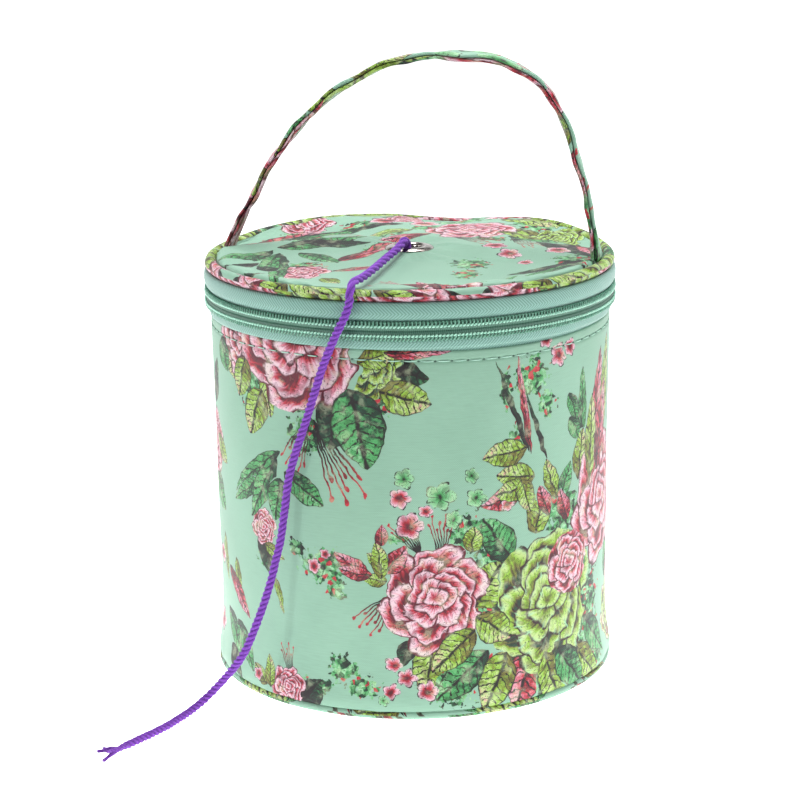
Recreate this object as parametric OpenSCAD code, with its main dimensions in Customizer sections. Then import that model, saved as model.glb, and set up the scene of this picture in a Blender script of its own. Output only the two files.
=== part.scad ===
// Round zipped knitting bag with a yarn eyelet in its hinged lid.
// +Z is up and the origin is the centre of the flat base. The handle spans X and the lid hinge is at +Y.

/* [Body] */
// Outer radius of the fabric wall
body_r = 80.5; // [76:0.5:85]
// Height of the folded top edge of the wall
wall_top_z = 147; // [146:0.5:148]
// Thickness of the foam between fabric and lining
foam_t = 2.3; // [1.8:0.1:2.6]

/* [Lid] */
// Height of the lid panel at its edge
lid_edge_z = 168.6; // [168.4:0.1:168.8]
// Rise of the lid panel from its edge to its centre
lid_crown = 2.2; // [1.5:0.1:2.4]
// Radius of the lid piping's section
piping_r = 2.4; // [2.2:0.1:2.4]

/* [Eyelet] */
// Radius of the eyelet's hole
eyelet_hole_r = 5.2; // [5:0.1:5.4]
// Outer radius of the eyelet's flange
eyelet_flange_r = 10; // [9:0.5:11]

/* [Zipper] */
// Height of the line between the two coils
chain_z = 154; // [153.8:0.1:154.2]
// Half the angle of the fabric hinge at the back
hinge_half_deg = 24; // [22:1:26]

/* [Handle] */
// Width of the folded fabric strap
strap_w = 10; // [8:0.5:10]
// Thickness of the folded fabric strap
strap_t = 2.6; // [2.2:0.1:2.8]
// Height of the top of the handle
handle_top_z = 248.4; // [240:0.5:260]

/* [Yarn] */
// Diameter of the yarn
yarn_d = 4; // [3.6:0.1:4]
// Radius of the ball of yarn
ball_r = 48; // [40:1:48]

/* [Hidden] */
$fn = 96;

mint = "#9fe0c6";
zip_green = "#8fc4b4";
nickel = "#b9b4a8";
foam_white = "#f1efe9";
lining_white = "#dfe9e4";
yarn_purple = "#7a4ed0";

// Wall, from the outside inwards: fabric, foam, lining.
fabric_t = 0.8;
lining_t = 0.6;
tape_t = 0.7;
wall_in_r = body_r - fabric_t;
foam_in_r = wall_in_r - foam_t;
lining_in_r = foam_in_r - lining_t;
tape_sewn_z = 138;
foam_top_z = wall_top_z - 1;

// Base, from the floor upwards: fabric, board, foam, lining.
base_piping_r = 1.8;
base_piping_ring_r = body_r - 0.5;
base_panel_r = base_piping_ring_r - base_piping_r;
board_t = 1.5;
base_foam_t = 2.5;
board_r = base_panel_r - 2.2;
board_top_z = fabric_t + board_t;
base_foam_top_z = board_top_z + base_foam_t;
floor_z = base_foam_top_z + lining_t;
wall_foot_z = 2 * base_piping_r + 0.1;

// Zipper: the tapes stand just outside the wall, and a coil runs along the edge of each.
tape_in_r = body_r + 0.1;
tape_out_r = tape_in_r + tape_t;
coil_out_r = tape_out_r + 2.1;
coil_gap = 1.3;
coil_h = 3.15;
lid_seam_z = 165;
hinge_side_deg = 90 - hinge_half_deg;
park_half_deg = 16.5;
tape_end_z = 160;

// Slider, drawn at the angle where it is parked, right of the hinge.
slider_park_deg = hinge_side_deg - 10;
slider_half_deg = 5.2;
slider_half_h = 5.6;
slider_flange_h = 1.4;
back_plate_in_r = body_r - 1.7;
back_plate_out_r = body_r - 0.3;
front_plate_in_r = coil_out_r + 0.4;
front_plate_out_r = front_plate_in_r + 1.4;
pull_axis_r = front_plate_out_r + 1.05;
bridge_half_w = 1.3;
bridge_half_l = 3.9;
bridge_foot = 1;
bridge_in_r = pull_axis_r + 1.05;
bridge_out_r = bridge_in_r + 1.2;
pull_w = 6.8;
pull_l = 20;
pull_t = 1.4;
pull_window_w = 3.8;
pull_window_l = 5.4;

// Lid, from the outside inwards: fabric, foam, lining. The piping lies against the panel's edge.
piping_ring_r = body_r - 0.3;
piping_z = lid_seam_z + 2.5;
lid_panel_r = piping_ring_r - piping_r;
lid_foam_t = 2.4;
piping_core_r = 1.5;
base_piping_core_r = 1.1;
piping_joint_deg = 1.5;
barrel_r = eyelet_hole_r + 0.7;
eyelet_cut_r = barrel_r + 0.1;
flange_t = 1.2;
washer_t = 0.8;

// Handle: it turns on its two ends, which are rounded about the pivot line.
pivot_z = 175.5;
strap_foot_z = 170.2;
strap_foot_x = 76.9;
core_t = 1.4;
core_w = strap_w - 1.6;
handle_left = [[-strap_foot_x, strap_foot_z], [-54, 220], [-25, handle_top_z], [18, handle_top_z]];
handle_right = [[18, handle_top_z], [48, handle_top_z], [67, 243], [strap_foot_x, strap_foot_z]];
curve_steps = 10;

// Yarn: where it runs inside the bag, and from the eyelet over the lid and the wall to the floor.
ball_z = floor_z + 0.4 + ball_r;
inner_route = [
    [0, -2.2, 103], [-1, -3.5, 112], [-1.8, -4.5, 122], [-1.8, -4.5, 132],
    [-1.2, -3.8, 142], [-0.4, -3, 152], [0, -2.8, 160], [0, -2.8, 166]
];
outer_route = [
    [0, -2.8, 166], [0, -2.8, 169], [0, -3, 171.6], [0, -4.3, 173.9], [0, -7.5, 175],
    [0, -12, 174.3], [0, -20, 173.3], [0.2, -32, 172.9], [0.6, -46, 172.4], [0.9, -60, 172],
    [1, -71, 172], [1, -78, 172.4], [1, -82, 171.6], [1, -84.6, 169.2], [0.9, -85.5, 165.5],
    [-0.6, -86, 160.7], [-2.9, -86.2, 156], [-5.5, -85.8, 151], [-8.2, -85.1, 145.3],
    [-11, -84.4, 138.5], [-13.3, -83.9, 132], [-17.4, -82.9, 120.3], [-20.2, -82.3, 112.6],
    [-23, -81.8, 105], [-25.9, -81.4, 95], [-27.8, -81.4, 83.3], [-29.6, -81.8, 71.2],
    [-31.7, -82.4, 62.4], [-33.7, -83.2, 54], [-36.5, -84.4, 44.7], [-39.3, -85.8, 36.6],
    [-41.6, -86.7, 30.6], [-44.2, -87.1, 25], [-48, -86.9, 19.4], [-52.2, -86.5, 14.3],
    [-56, -86.6, 9.9], [-59.4, -88.2, 6.2], [-62.2, -92, 3.6], [-64.2, -97.5, 2.4],
    [-65.8, -104, 2.1], [-67.4, -111.5, 2.1], [-69.5, -118, 2.1], [-71.9, -124.5, 2.1],
    [-74.4, -131, 2.1], [-77.2, -138, 2.1], [-80.5, -146, 2.1]
];
yarn_sides = 8;

function unit(v) = v / norm(v);

function cubic(p, t) =
    pow(1 - t, 3) * p[0] + 3 * pow(1 - t, 2) * t * p[1] + 3 * (1 - t) * t * t * p[2] + pow(t, 3) * p[3];

function handle_line() = concat(
    [for (i = [0 : curve_steps]) cubic(handle_left, i / curve_steps)],
    [for (i = [1 : curve_steps]) cubic(handle_right, i / curve_steps)]
);

function along(line, i) = unit(line[min(i + 1, len(line) - 1)] - line[max(i - 1, 0)]);

// Outline of a band that follows a line in the plane
function band(line, thick) = let (
    side = [for (i = [0 : len(line) - 1]) let (d = along(line, i)) [-d.y, d.x] * thick / 2],
    last = len(line) - 1
) concat(
    [for (i = [0 : last]) line[i] + side[i]],
    [for (i = [0 : last]) line[last - i] - side[last - i]]
);

// Top of the lid fabric at a radius
function lid_top_z(r) = lid_edge_z + lid_crown * (1 - pow(r / lid_panel_r, 2));

// A ring, or a part of one, with a rectangular section
module arc_band(r1, r2, z1, z2, from = 0, to = 360) {
    rotate([0, 0, from]) rotate_extrude(angle = to - from)
        translate([r1, z1]) square([r2 - r1, z2 - z1]);
}

// A round tube bent into a ring that is open for a moment at the back
module piping_ring(ring_r, z, outer_r, inner_r) {
    rotate([0, 0, 90 + piping_joint_deg / 2]) rotate_extrude(angle = 360 - piping_joint_deg)
        translate([ring_r, z]) difference() {
            circle(r = outer_r, $fn = 48);
            if (inner_r > 0) circle(r = inner_r, $fn = 48);
        }
}

// One layer of the lid, a given depth under the top of the fabric, with the eyelet's hole
module lid_layer(depth, thick, edge_r) {
    steps = 8;
    radii = [for (i = [0 : steps]) eyelet_cut_r + (edge_r - eyelet_cut_r) * i / steps];
    rotate_extrude() polygon(concat(
        [for (r = radii) [r, lid_top_z(r) - depth]],
        [for (i = [0 : steps]) [radii[steps - i], lid_top_z(radii[steps - i]) - depth - thick]]
    ));
}

// A strip that follows the handle's arch, with its ends rounded about the pivot line
module handle_strip(width, thick, end_r) {
    intersection() {
        rotate([90, 0, 0]) linear_extrude(width, center = true) polygon(band(handle_line(), thick));
        union() {
            translate([-100, -20, pivot_z]) cube([200, 40, 100]);
            translate([-100, 0, pivot_z]) rotate([0, 90, 0]) cylinder(r = end_r, h = 200);
        }
    }
}

// A round cord swept along a route
module swept_cord(route, d) {
    count = len(route);
    rings = [for (i = [0 : count - 1]) let (
        t = along(route, i),
        u = unit(cross(t, [1, 0, 0])),
        v = cross(t, u)
    ) for (j = [0 : yarn_sides - 1])
        route[i] + d / 2 * (u * cos(360 * j / yarn_sides) + v * sin(360 * j / yarn_sides))];
    walls = [for (i = [0 : count - 2]) for (j = [0 : yarn_sides - 1]) let (
        k = (j + 1) % yarn_sides,
        a = i * yarn_sides,
        b = a + yarn_sides
    ) [a + j, b + j, b + k, a + k]];
    first = [for (j = [0 : yarn_sides - 1]) j];
    last = [for (j = [yarn_sides - 1 : -1 : 0]) (count - 1) * yarn_sides + j];
    polyhedron(points = rings, faces = concat(walls, [first], [last]));
}

module side_panel() {
    color(mint) arc_band(wall_in_r, body_r, wall_foot_z, wall_top_z);
}

// The foam is thinner at the top, where the zipper tape is sewn in.
module side_padding() {
    color(foam_white) rotate_extrude() polygon([
        [foam_in_r, wall_foot_z],
        [wall_in_r, wall_foot_z],
        [wall_in_r, tape_sewn_z],
        [wall_in_r - tape_t, tape_sewn_z],
        [wall_in_r - tape_t, foam_top_z],
        [foam_in_r, foam_top_z]
    ]);
}

module side_lining() {
    color(lining_white) arc_band(lining_in_r, foam_in_r, floor_z - lining_t, foam_top_z);
}

// Tape over the upright seam that closes the wall at the back
module side_seam_binding() {
    color(lining_white)
        arc_band(lining_in_r - 0.8, lining_in_r, floor_z + 0.2, foam_top_z, 90 - 4.5, 90 + 4.5);
}

// Tape over the raw edges of foam and lining at the rim
module rim_binding() {
    color(lining_white) arc_band(lining_in_r, wall_in_r - tape_t, foam_top_z, wall_top_z);
}

module base_panel() {
    color(mint) cylinder(r = base_panel_r, h = fabric_t);
}

module base_board() {
    color("#cdbf9f") translate([0, 0, fabric_t]) cylinder(r = board_r, h = board_t);
}

module base_padding() {
    color(foam_white) translate([0, 0, board_top_z]) cylinder(r = board_r, h = base_foam_t);
}

module base_lining() {
    color(lining_white) translate([0, 0, base_foam_top_z]) cylinder(r = lining_in_r, h = lining_t);
}

// Tape over the seam between the base and the wall, inside
module base_binding() {
    color(lining_white) arc_band(board_r, base_panel_r, fabric_t, wall_foot_z - 0.1);
}

module base_piping() {
    color(mint) piping_ring(base_piping_ring_r, base_piping_r, base_piping_r, base_piping_core_r);
}

module base_piping_cord() {
    color(foam_white) piping_ring(base_piping_ring_r, base_piping_r, base_piping_core_r, 0);
}

// The tape is sewn behind the edge of the wall, and steps out above it.
module zipper_tape_lower() {
    edge_z = chain_z - coil_gap / 2;
    color(zip_green) rotate([0, 0, 180 - hinge_side_deg])
        rotate_extrude(angle = 360 - 2 * hinge_half_deg) polygon([
            [wall_in_r - tape_t, tape_sewn_z],
            [wall_in_r, tape_sewn_z],
            [wall_in_r, wall_top_z],
            [tape_out_r, wall_top_z],
            [tape_out_r, edge_z],
            [tape_in_r, edge_z],
            [tape_in_r, wall_top_z + tape_t],
            [wall_in_r - tape_t, wall_top_z + tape_t]
        ]);
}

module zipper_coil_lower() {
    top = chain_z - coil_gap / 2;
    color(zip_green) arc_band(tape_out_r, coil_out_r, top - coil_h, top,
        180 - hinge_side_deg, 360 + hinge_side_deg);
}

// Fabric that joins the lid to the wall between the two ends of the zipper
module hinge_panel() {
    color(mint) arc_band(wall_in_r, body_r, wall_top_z + 0.1, lid_seam_z,
        hinge_side_deg, 180 - hinge_side_deg);
}

module hinge_lining() {
    color(lining_white) arc_band(foam_in_r, wall_in_r, wall_top_z + 0.1, lid_seam_z - 3.4,
        hinge_side_deg, 180 - hinge_side_deg);
}

module lid_panel() {
    color(mint) lid_layer(0, fabric_t, lid_panel_r);
}

module lid_padding() {
    color(foam_white) lid_layer(fabric_t, lid_foam_t, lid_panel_r - 0.2);
}

module lid_lining() {
    color(lining_white) lid_layer(fabric_t + lid_foam_t, lining_t, lid_panel_r - 0.2);
}

module lid_piping() {
    color(mint) piping_ring(piping_ring_r, piping_z, piping_r, piping_core_r);
}

module lid_piping_cord() {
    color(foam_white) piping_ring(piping_ring_r, piping_z, piping_core_r, 0);
}

// Tape over the seam between the lid's lining and the zipper, inside
module lid_seam_binding() {
    color(lining_white) arc_band(foam_in_r + 0.4, wall_in_r - 0.3, lid_seam_z - 3.4, lid_seam_z - 0.1);
}

// The lower edge is cut away at both ends, so that the parked slider lets the lid go.
module zipper_tape_upper() {
    start = 180 - hinge_side_deg;
    end = 360 + hinge_side_deg;
    edge_z = chain_z + coil_gap / 2;
    color(zip_green) difference() {
        arc_band(tape_in_r, tape_out_r, edge_z, lid_seam_z, start, end);
        for (from = [start - 1, end - park_half_deg])
            arc_band(tape_in_r - 1, tape_out_r + 1, edge_z - 1, tape_end_z, from, from + park_half_deg + 1);
    }
}

module zipper_coil_upper() {
    low = chain_z + coil_gap / 2;
    color(zip_green) arc_band(tape_out_r, coil_out_r, low, low + coil_h,
        180 - hinge_side_deg + park_half_deg, 360 + hinge_side_deg - park_half_deg);
}

// Flange with a rounded top, and a barrel through the lid
module eyelet() {
    top = lid_top_z(0);
    under = top - fabric_t - lid_foam_t - lining_t - washer_t;
    color(nickel) rotate_extrude() polygon([
        [eyelet_hole_r, under - 0.1],
        [barrel_r, under - 0.1],
        [barrel_r, top],
        [eyelet_flange_r, top],
        [eyelet_flange_r, top + 0.4],
        [eyelet_flange_r - 1, top + 0.9],
        [eyelet_flange_r - 2.4, top + flange_t],
        [eyelet_hole_r + 0.8, top + 0.9],
        [eyelet_hole_r, top + 0.1]
    ]);
}

module eyelet_washer() {
    top = lid_top_z(eyelet_flange_r) - fabric_t - lid_foam_t - lining_t - 0.02;
    color(nickel) arc_band(barrel_r, eyelet_flange_r - 0.5, top - washer_t, top);
}

// Where the strap's end is pressed flat and sewn down inside the lid seam
module handle_end(side) {
    low = lid_edge_z + 0.15;
    pressed_t = strap_t - 0.6;
    color(mint) translate([side * strap_foot_x - pressed_t / 2, -strap_w / 2, low])
        cube([pressed_t, strap_w, strap_foot_z - 0.1 - low]);
}

module handle_end_left() {
    handle_end(-1);
}

module handle_end_right() {
    handle_end(1);
}

module handle_strap() {
    color(mint) difference() {
        handle_strip(strap_w, strap_t, strap_w / 2);
        handle_strip(core_w, core_t, strap_w);
    }
}

module handle_core() {
    color(foam_white) handle_strip(core_w, core_t, core_w / 2);
}

// Two plates joined by a post between the coils, with flanges round both coils
module slider_body() {
    low = chain_z - slider_half_h;
    high = chain_z + slider_half_h;
    post_half_h = coil_gap / 2 - 0.3;
    a = slider_half_deg;
    root = 0.3;
    color(nickel) rotate([0, 0, slider_park_deg]) union() {
        arc_band(back_plate_in_r, back_plate_out_r, low, high, -a, a);
        arc_band(front_plate_in_r, front_plate_out_r, low, high, -a, a);
        arc_band(tape_out_r + 0.4, front_plate_in_r + root, low, low + slider_flange_h, -a, a);
        arc_band(tape_out_r + 0.4, front_plate_in_r + root, high - slider_flange_h, high, -a, a);
        arc_band(back_plate_out_r - root, front_plate_in_r + root,
            chain_z - post_half_h, chain_z + post_half_h, a - 2, a - 0.4);
    }
}

// Bail on the front plate that holds the pull tab's cross bar
module slider_bridge() {
    color(nickel) rotate([0, 0, slider_park_deg]) difference() {
        translate([front_plate_out_r - 1, -bridge_half_l, chain_z - bridge_half_w])
            cube([bridge_out_r - front_plate_out_r + 1, 2 * bridge_half_l, 2 * bridge_half_w]);
        translate([front_plate_out_r - 2, -bridge_half_l + bridge_foot, chain_z - bridge_half_w - 1])
            cube([bridge_in_r - front_plate_out_r + 2, 2 * (bridge_half_l - bridge_foot),
                2 * bridge_half_w + 2]);
        cylinder(r = front_plate_out_r, h = 2 * chain_z);
    }
}

// Flat tab with a window round the bridge, and a cross bar that turns under it
module pull_tab() {
    bar_r = pull_t / 2;
    end_r = pull_w / 2;
    color(nickel) rotate([0, 0, slider_park_deg]) translate([pull_axis_r, 0, chain_z]) union() {
        translate([0, 0, -end_r]) cylinder(r = bar_r, h = pull_w, $fn = 32);
        rotate([0, 90, 0]) linear_extrude(pull_t, center = true) difference() {
            union() {
                translate([-end_r, -pull_l + end_r]) square([pull_w, pull_l - end_r]);
                translate([0, -pull_l + end_r]) circle(r = end_r, $fn = 48);
            }
            translate([-pull_window_w / 2, -pull_window_l]) square([pull_window_w, pull_window_l + 1]);
        }
    }
}

module yarn_ball() {
    color(yarn_purple) translate([0, 0, ball_z]) sphere(r = ball_r);
}

module yarn_inner_strand() {
    color(yarn_purple) swept_cord(inner_route, yarn_d);
}

module yarn_strand() {
    color(yarn_purple) swept_cord(outer_route, yarn_d);
}

side_panel();
side_padding();
side_lining();
side_seam_binding();
rim_binding();
base_panel();
base_board();
base_padding();
base_lining();
base_binding();
base_piping();
base_piping_cord();
zipper_tape_lower();
zipper_coil_lower();
hinge_panel();
hinge_lining();
lid_panel();
lid_padding();
lid_lining();
lid_piping();
lid_piping_cord();
lid_seam_binding();
zipper_tape_upper();
zipper_coil_upper();
eyelet();
eyelet_washer();
handle_end_left();
handle_end_right();
handle_strap();
handle_core();
slider_body();
slider_bridge();
pull_tab();
yarn_ball();
yarn_inner_strand();
yarn_strand();
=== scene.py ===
"""Looks of the round zipped knitting bag: a mint rose print, a padded lid, a coil zipper and purple yarn."""

import math

import bmesh
import bpy
import numpy as np
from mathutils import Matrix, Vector


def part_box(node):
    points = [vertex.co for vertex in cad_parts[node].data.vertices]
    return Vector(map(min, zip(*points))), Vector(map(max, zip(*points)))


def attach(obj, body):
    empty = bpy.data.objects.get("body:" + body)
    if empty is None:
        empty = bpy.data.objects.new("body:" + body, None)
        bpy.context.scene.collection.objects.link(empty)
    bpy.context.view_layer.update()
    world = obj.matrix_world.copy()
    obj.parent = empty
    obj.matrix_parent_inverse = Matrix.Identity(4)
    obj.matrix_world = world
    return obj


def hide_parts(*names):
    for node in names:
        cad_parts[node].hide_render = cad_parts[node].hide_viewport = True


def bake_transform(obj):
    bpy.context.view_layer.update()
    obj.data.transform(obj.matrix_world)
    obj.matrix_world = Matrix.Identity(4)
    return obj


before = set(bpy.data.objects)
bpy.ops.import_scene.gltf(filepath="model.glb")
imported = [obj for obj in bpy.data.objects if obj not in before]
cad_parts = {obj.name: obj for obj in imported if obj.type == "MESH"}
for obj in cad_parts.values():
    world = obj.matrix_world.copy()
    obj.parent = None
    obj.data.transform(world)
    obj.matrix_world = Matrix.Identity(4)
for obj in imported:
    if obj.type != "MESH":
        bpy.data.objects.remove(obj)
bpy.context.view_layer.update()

MM = 0.001
TURN = 2 * math.pi


# ---------------------------------------------------------------- sizes from the CAD, in millimetres

def low(node):
    """Lowest corner of a CAD node in millimetres."""
    return np.array(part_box(node)[0]) / MM


def high(node):
    """Highest corner of a CAD node in millimetres."""
    return np.array(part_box(node)[1]) / MM


WALL_R = high("side_panel")[0]
WALL_TOP = high("side_panel")[2]
LID_SEAM_Z = high("zipper_tape_upper")[2]
LID_R = high("lid_panel")[0]
LID_EDGE_Z = low("handle_end_left")[2] - 0.15
PIPING_Z = (low("lid_piping")[2] + high("lid_piping")[2]) / 2
PIPING_R = (high("lid_piping")[2] - low("lid_piping")[2]) / 2
PIPING_RING_R = high("lid_piping")[0] - PIPING_R
BASE_PIPING_R = high("base_piping")[2] / 2
BASE_PIPING_RING_R = high("base_piping")[0] - BASE_PIPING_R
COIL_R = high("zipper_coil_lower")[0]
CHAIN_Z = (high("zipper_coil_lower")[2] + low("zipper_coil_upper")[2]) / 2 + 0.4
UPPER_TAPE_Z = high("zipper_coil_upper")[2] + 1.1
BALL_R = high("yarn_ball")[0]
BALL_Z = high("yarn_ball")[2] - BALL_R
YARN_D = 4.0
PLY_LEAD = 6.6
YARN_GIRTH = 12.5
FRAY_LENGTH = 10.0
# Half the angle that the hinge takes up at the back, in radians
HINGE_HALF = math.atan2(high("hinge_panel")[0], low("hinge_panel")[1])
PARK_HALF = math.radians(16.5)
# Radius of the round on which the print of the wall and its strips is laid out
PRINT_R = 80.3


# ---------------------------------------------------------------- camera

CAMERA_AT = (0.2525, -0.8859, 0.3398)
CAMERA_TO = (-0.0045, -0.0013, 0.1076)
CAMERA_ROLL = math.radians(-0.83)
CAMERA_LENS = 104.3


def make_camera():
    """A long lens, slightly above the bag and to its right."""
    data = bpy.data.cameras.new("camera")
    data.lens = CAMERA_LENS
    data.sensor_width = 36
    camera = bpy.data.objects.new("camera", data)
    bpy.context.scene.collection.objects.link(camera)
    aim = (Vector(CAMERA_TO) - Vector(CAMERA_AT)).to_track_quat("-Z", "Y")
    camera.location = CAMERA_AT
    camera.rotation_euler = aim.to_euler()
    camera.rotation_euler.rotate_axis("Z", CAMERA_ROLL)
    bpy.context.scene.camera = camera


make_camera()


# ---------------------------------------------------------------- shader nodes

def srgb(red, green, blue):
    """A colour given in 0 to 255 as seen on a screen, as the linear colour that a shader takes."""
    def linear(c):
        c = c / 255
        return c / 12.92 if c <= 0.04045 else ((c + 0.055) / 1.055) ** 2.4
    return (linear(red), linear(green), linear(blue), 1.0)


class Net:
    """Short names for the nodes of one tree. A value is a number, a tuple or another node's output."""

    def __init__(self, tree):
        self.tree = tree

    def node(self, kind, *values, **settings):
        made = self.tree.nodes.new(kind)
        for name, value in settings.items():
            setattr(made, name, value)
        for socket, value in zip([s for s in made.inputs if s.enabled], values):
            self.feed(socket, value)
        return made

    def feed(self, socket, value):
        if isinstance(value, bpy.types.NodeSocket):
            self.tree.links.new(value, socket)
        elif value is not None:
            socket.default_value = value

    def math(self, operation, a, b=None, c=None, clamp=False):
        return self.node("ShaderNodeMath", a, b, c, operation=operation, use_clamp=clamp).outputs[0]

    def add(self, a, b):
        return self.math("ADD", a, b)

    def less(self, a, b, clamp=False):
        return self.math("SUBTRACT", a, b, clamp=clamp)

    def times(self, a, b):
        return self.math("MULTIPLY", a, b)

    def times_add(self, a, b, c, clamp=False):
        """a times b plus c."""
        return self.math("MULTIPLY_ADD", a, b, c, clamp)

    def share(self, a, b, clamp=False):
        return self.math("DIVIDE", a, b, clamp=clamp)

    def larger(self, a, b):
        return self.math("MAXIMUM", a, b)

    def above(self, a, b):
        return self.math("GREATER_THAN", a, b)

    def below(self, a, b):
        return self.math("LESS_THAN", a, b)

    def size(self, a):
        return self.math("ABSOLUTE", a)

    def vector(self, operation, a, b=None):
        made = self.node("ShaderNodeVectorMath", a, b, operation=operation)
        return made.outputs["Value" if operation in ("LENGTH", "DISTANCE", "DOT_PRODUCT") else "Vector"]

    def scaled(self, a, factor):
        made = self.node("ShaderNodeVectorMath", a, operation="SCALE")
        self.feed(made.inputs["Scale"], factor)
        return made.outputs[0]

    def split(self, vector):
        return self.node("ShaderNodeSeparateXYZ", vector).outputs

    def join(self, x, y, z=0.0):
        return self.node("ShaderNodeCombineXYZ", x, y, z).outputs[0]

    def place_round(self, p, u, v, across, up, tone=0.0):
        """The coordinates of a motif that lies at (u, v), with its tone as the third."""
        made = self.node("ShaderNodeVectorMath", p, (1 / across, 1 / up, 0), operation="MULTIPLY_ADD")
        self.feed(made.inputs[2], (-u / across, -v / up, tone))
        return made.outputs[0]

    def place_turned(self, p, u, v, along, across, turn, tone):
        """The same for a motif that is turned. The third coordinate of p is 1."""
        c, s = math.cos(turn), math.sin(turn)
        x = self.vector("DOT_PRODUCT", p, (c / along, s / along, -(u * c + v * s) / along))
        y = self.vector("DOT_PRODUCT", p, (-s / across, c / across, (u * s - v * c) / across))
        return self.join(x, y, tone)

    def mix(self, share, a, b, blend="MIX"):
        made = self.node("ShaderNodeMix", data_type="RGBA", blend_type=blend)
        for socket, value in ((made.inputs[0], share), (made.inputs[6], a), (made.inputs[7], b)):
            self.feed(socket, value)
        return made.outputs[2]

    def mix_vector(self, share, a, b):
        made = self.node("ShaderNodeMix", data_type="VECTOR")
        for socket, value in ((made.inputs[0], share), (made.inputs[4], a), (made.inputs[5], b)):
            self.feed(socket, value)
        return made.outputs[1]

    def ramp(self, value, *stops, smooth=False):
        """Colour by position; each stop is (position, colour)."""
        made = self.node("ShaderNodeValToRGB", value)
        elements = made.color_ramp.elements
        made.color_ramp.interpolation = "EASE" if smooth else "LINEAR"
        elements[0].position, elements[0].color = stops[0]
        elements[1].position, elements[1].color = stops[-1]
        for position, colour in stops[1:-1]:
            elements.new(position).color = colour
        return made.outputs[0]

    def step(self, value, start, end):
        """0 below start and 1 above end, or the other way round where end is lower."""
        made = self.node("ShaderNodeMapRange", value, start, end, 0.0, 1.0, interpolation_type="SMOOTHSTEP")
        return made.outputs[0]

    def noise(self, vector, scale, detail=2.0, colour=False):
        made = self.node("ShaderNodeTexNoise", vector)
        made.inputs["Scale"].default_value = scale
        made.inputs["Detail"].default_value = detail
        return made.outputs["Color" if colour else "Fac"]

    def cells(self, vector, scale):
        made = self.node("ShaderNodeTexVoronoi", vector)
        made.inputs["Scale"].default_value = scale
        return made.outputs

    def object_mm(self):
        """Object coordinates in millimetres."""
        return self.scaled(self.node("ShaderNodeTexCoord").outputs["Object"], 1 / MM)

    def cloth_mm(self):
        """Place on the cut cloth in millimetres, from the mesh."""
        return self.node("ShaderNodeAttribute", attribute_name="cloth").outputs["Vector"]


def material(name, build):
    """A material whose build function fills the Principled shader and returns its bump: the height, the
    distance in metres and the strength, or None."""
    made = bpy.data.materials.new(name)
    made.use_nodes = True
    net = Net(made.node_tree)
    shader = made.node_tree.nodes["Principled BSDF"]
    relief = build(net, shader)
    if relief is not None:
        height, distance, strength = relief
        bump = net.node("ShaderNodeBump")
        bump.inputs["Strength"].default_value = strength
        bump.inputs["Distance"].default_value = distance
        net.feed(bump.inputs["Height"], height)
        net.feed(shader.inputs["Normal"], bump.outputs[0])
    return made


# ---------------------------------------------------------------- the rose print

MINT = srgb(151, 196, 173)
DEEP_MINT = srgb(145, 190, 167)
INK = srgb(26, 16, 22)
WINE = srgb(104, 24, 44)
RED = srgb(204, 44, 62)
PINK = srgb(230, 142, 164)
BLUSH = srgb(246, 212, 226)
LIME = srgb(152, 202, 60)
PALE_LIME = srgb(198, 224, 142)
GREEN = srgb(84, 178, 104)
PALE_GREEN = srgb(168, 226, 178)
DARK_GREEN = srgb(24, 68, 48)
WASH = srgb(222, 238, 196)
OLIVE = srgb(126, 122, 52)

# Roses: across, up, radius, tone from 0 (pink) to 1 (green), and a trim where one lies on another
WALL_ROSES = [
    (-54, 147, 19, 0.3), (6, 141, 15, 1), (-24, 150, 32, 0, 0.95), (120, 74, 27, 0),
    (80, 41, 31, 0.8, 0.95), (92, 54, 16, 0.2, 0.8), (30.5, 48.5, 23, 0), (-43.5, 71, 8, 0),
    (-31, 8, 9, 0), (-90, 96, 15, 0), (136, 22, 14, 0.6),
]
# Leaves: foot across and up, tip across and up, half width, tone (0 green, 1 lime, 2 dark, 3 pink)
WALL_LEAVES_UNDER = [
    (-6, 130, -10, 107, 8, 2), (9, 139, 29, 136, 6.5, 2), (-40, 140, -37, 116, 5, 1),
    (-64, 143, -60, 127, 6, 1), (-33, 104, -63, 82, 4, 0), (-31, 96, -13, 84, 5.5, 0),
    (-45, 90, -64, 78, 3.5, 0), (-46, 67, -38, 51, 4.5, 2), (-79, 60, -76, 40, 3, 1),
    (-66, 53, -62, 37, 3, 1), (-76, 29, -59, 11, 5, 0), (-72, 15, -60, 3, 4, 2),
    (5, 57, -9, 67, 3.8, 3), (12, 61, 4, 67, 3, 1), (12, 56, 2, 57, 3, 1), (10, 70, 10.5, 79, 2.6, 3),
    (46, 44, 58, 62, 9, 1), (30, 32, 26, 9, 7, 1), (52, 26, 30, 8, 7, 0), (72, 24, 62, -1, 8.5, 3),
    (88, 22, 74, 1, 7, 2), (96, 18, 113, -1, 7, 1), (62, 62, 50, 79, 7, 0), (73, 70, 77, 88, 6.5, 1),
    (73, 93, 55, 96, 5.5, 1), (66, 88, 49, 84, 4.5, 3), (69, 105, 49, 103, 5.5, 1),
    (71, 102, 64, 142, 1.7, 3), (79, 98, 68, 128, 1.1, 2), (92, 123, 97, 111, 3.4, 0),
    (101, 102, 101, 132, 3.4, 0), (110, 92, 119, 136, 5.5, 3), (98, 86, 102, 107, 5.5, 1),
    (122, 96, 128, 140, 6, 1), (84, 82, 78, 99, 4.2, 1), (80, 76, 75, 89, 3.6, 3),
    (-42, 6, -51, 13, 3.2, 1), (-24, 3, -15, 14, 5.5, 2), (-92, 84, -76, 70, 6, 0),
    (-100, 92, -96, 66, 6, 1), (140, 36, 128, 52, 7, 0), (142, 20, 144, -2, 7, 1),
    (22, 32, 16, 22, 4, 2), (-88, 112, -80, 132, 5, 2),
]
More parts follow.
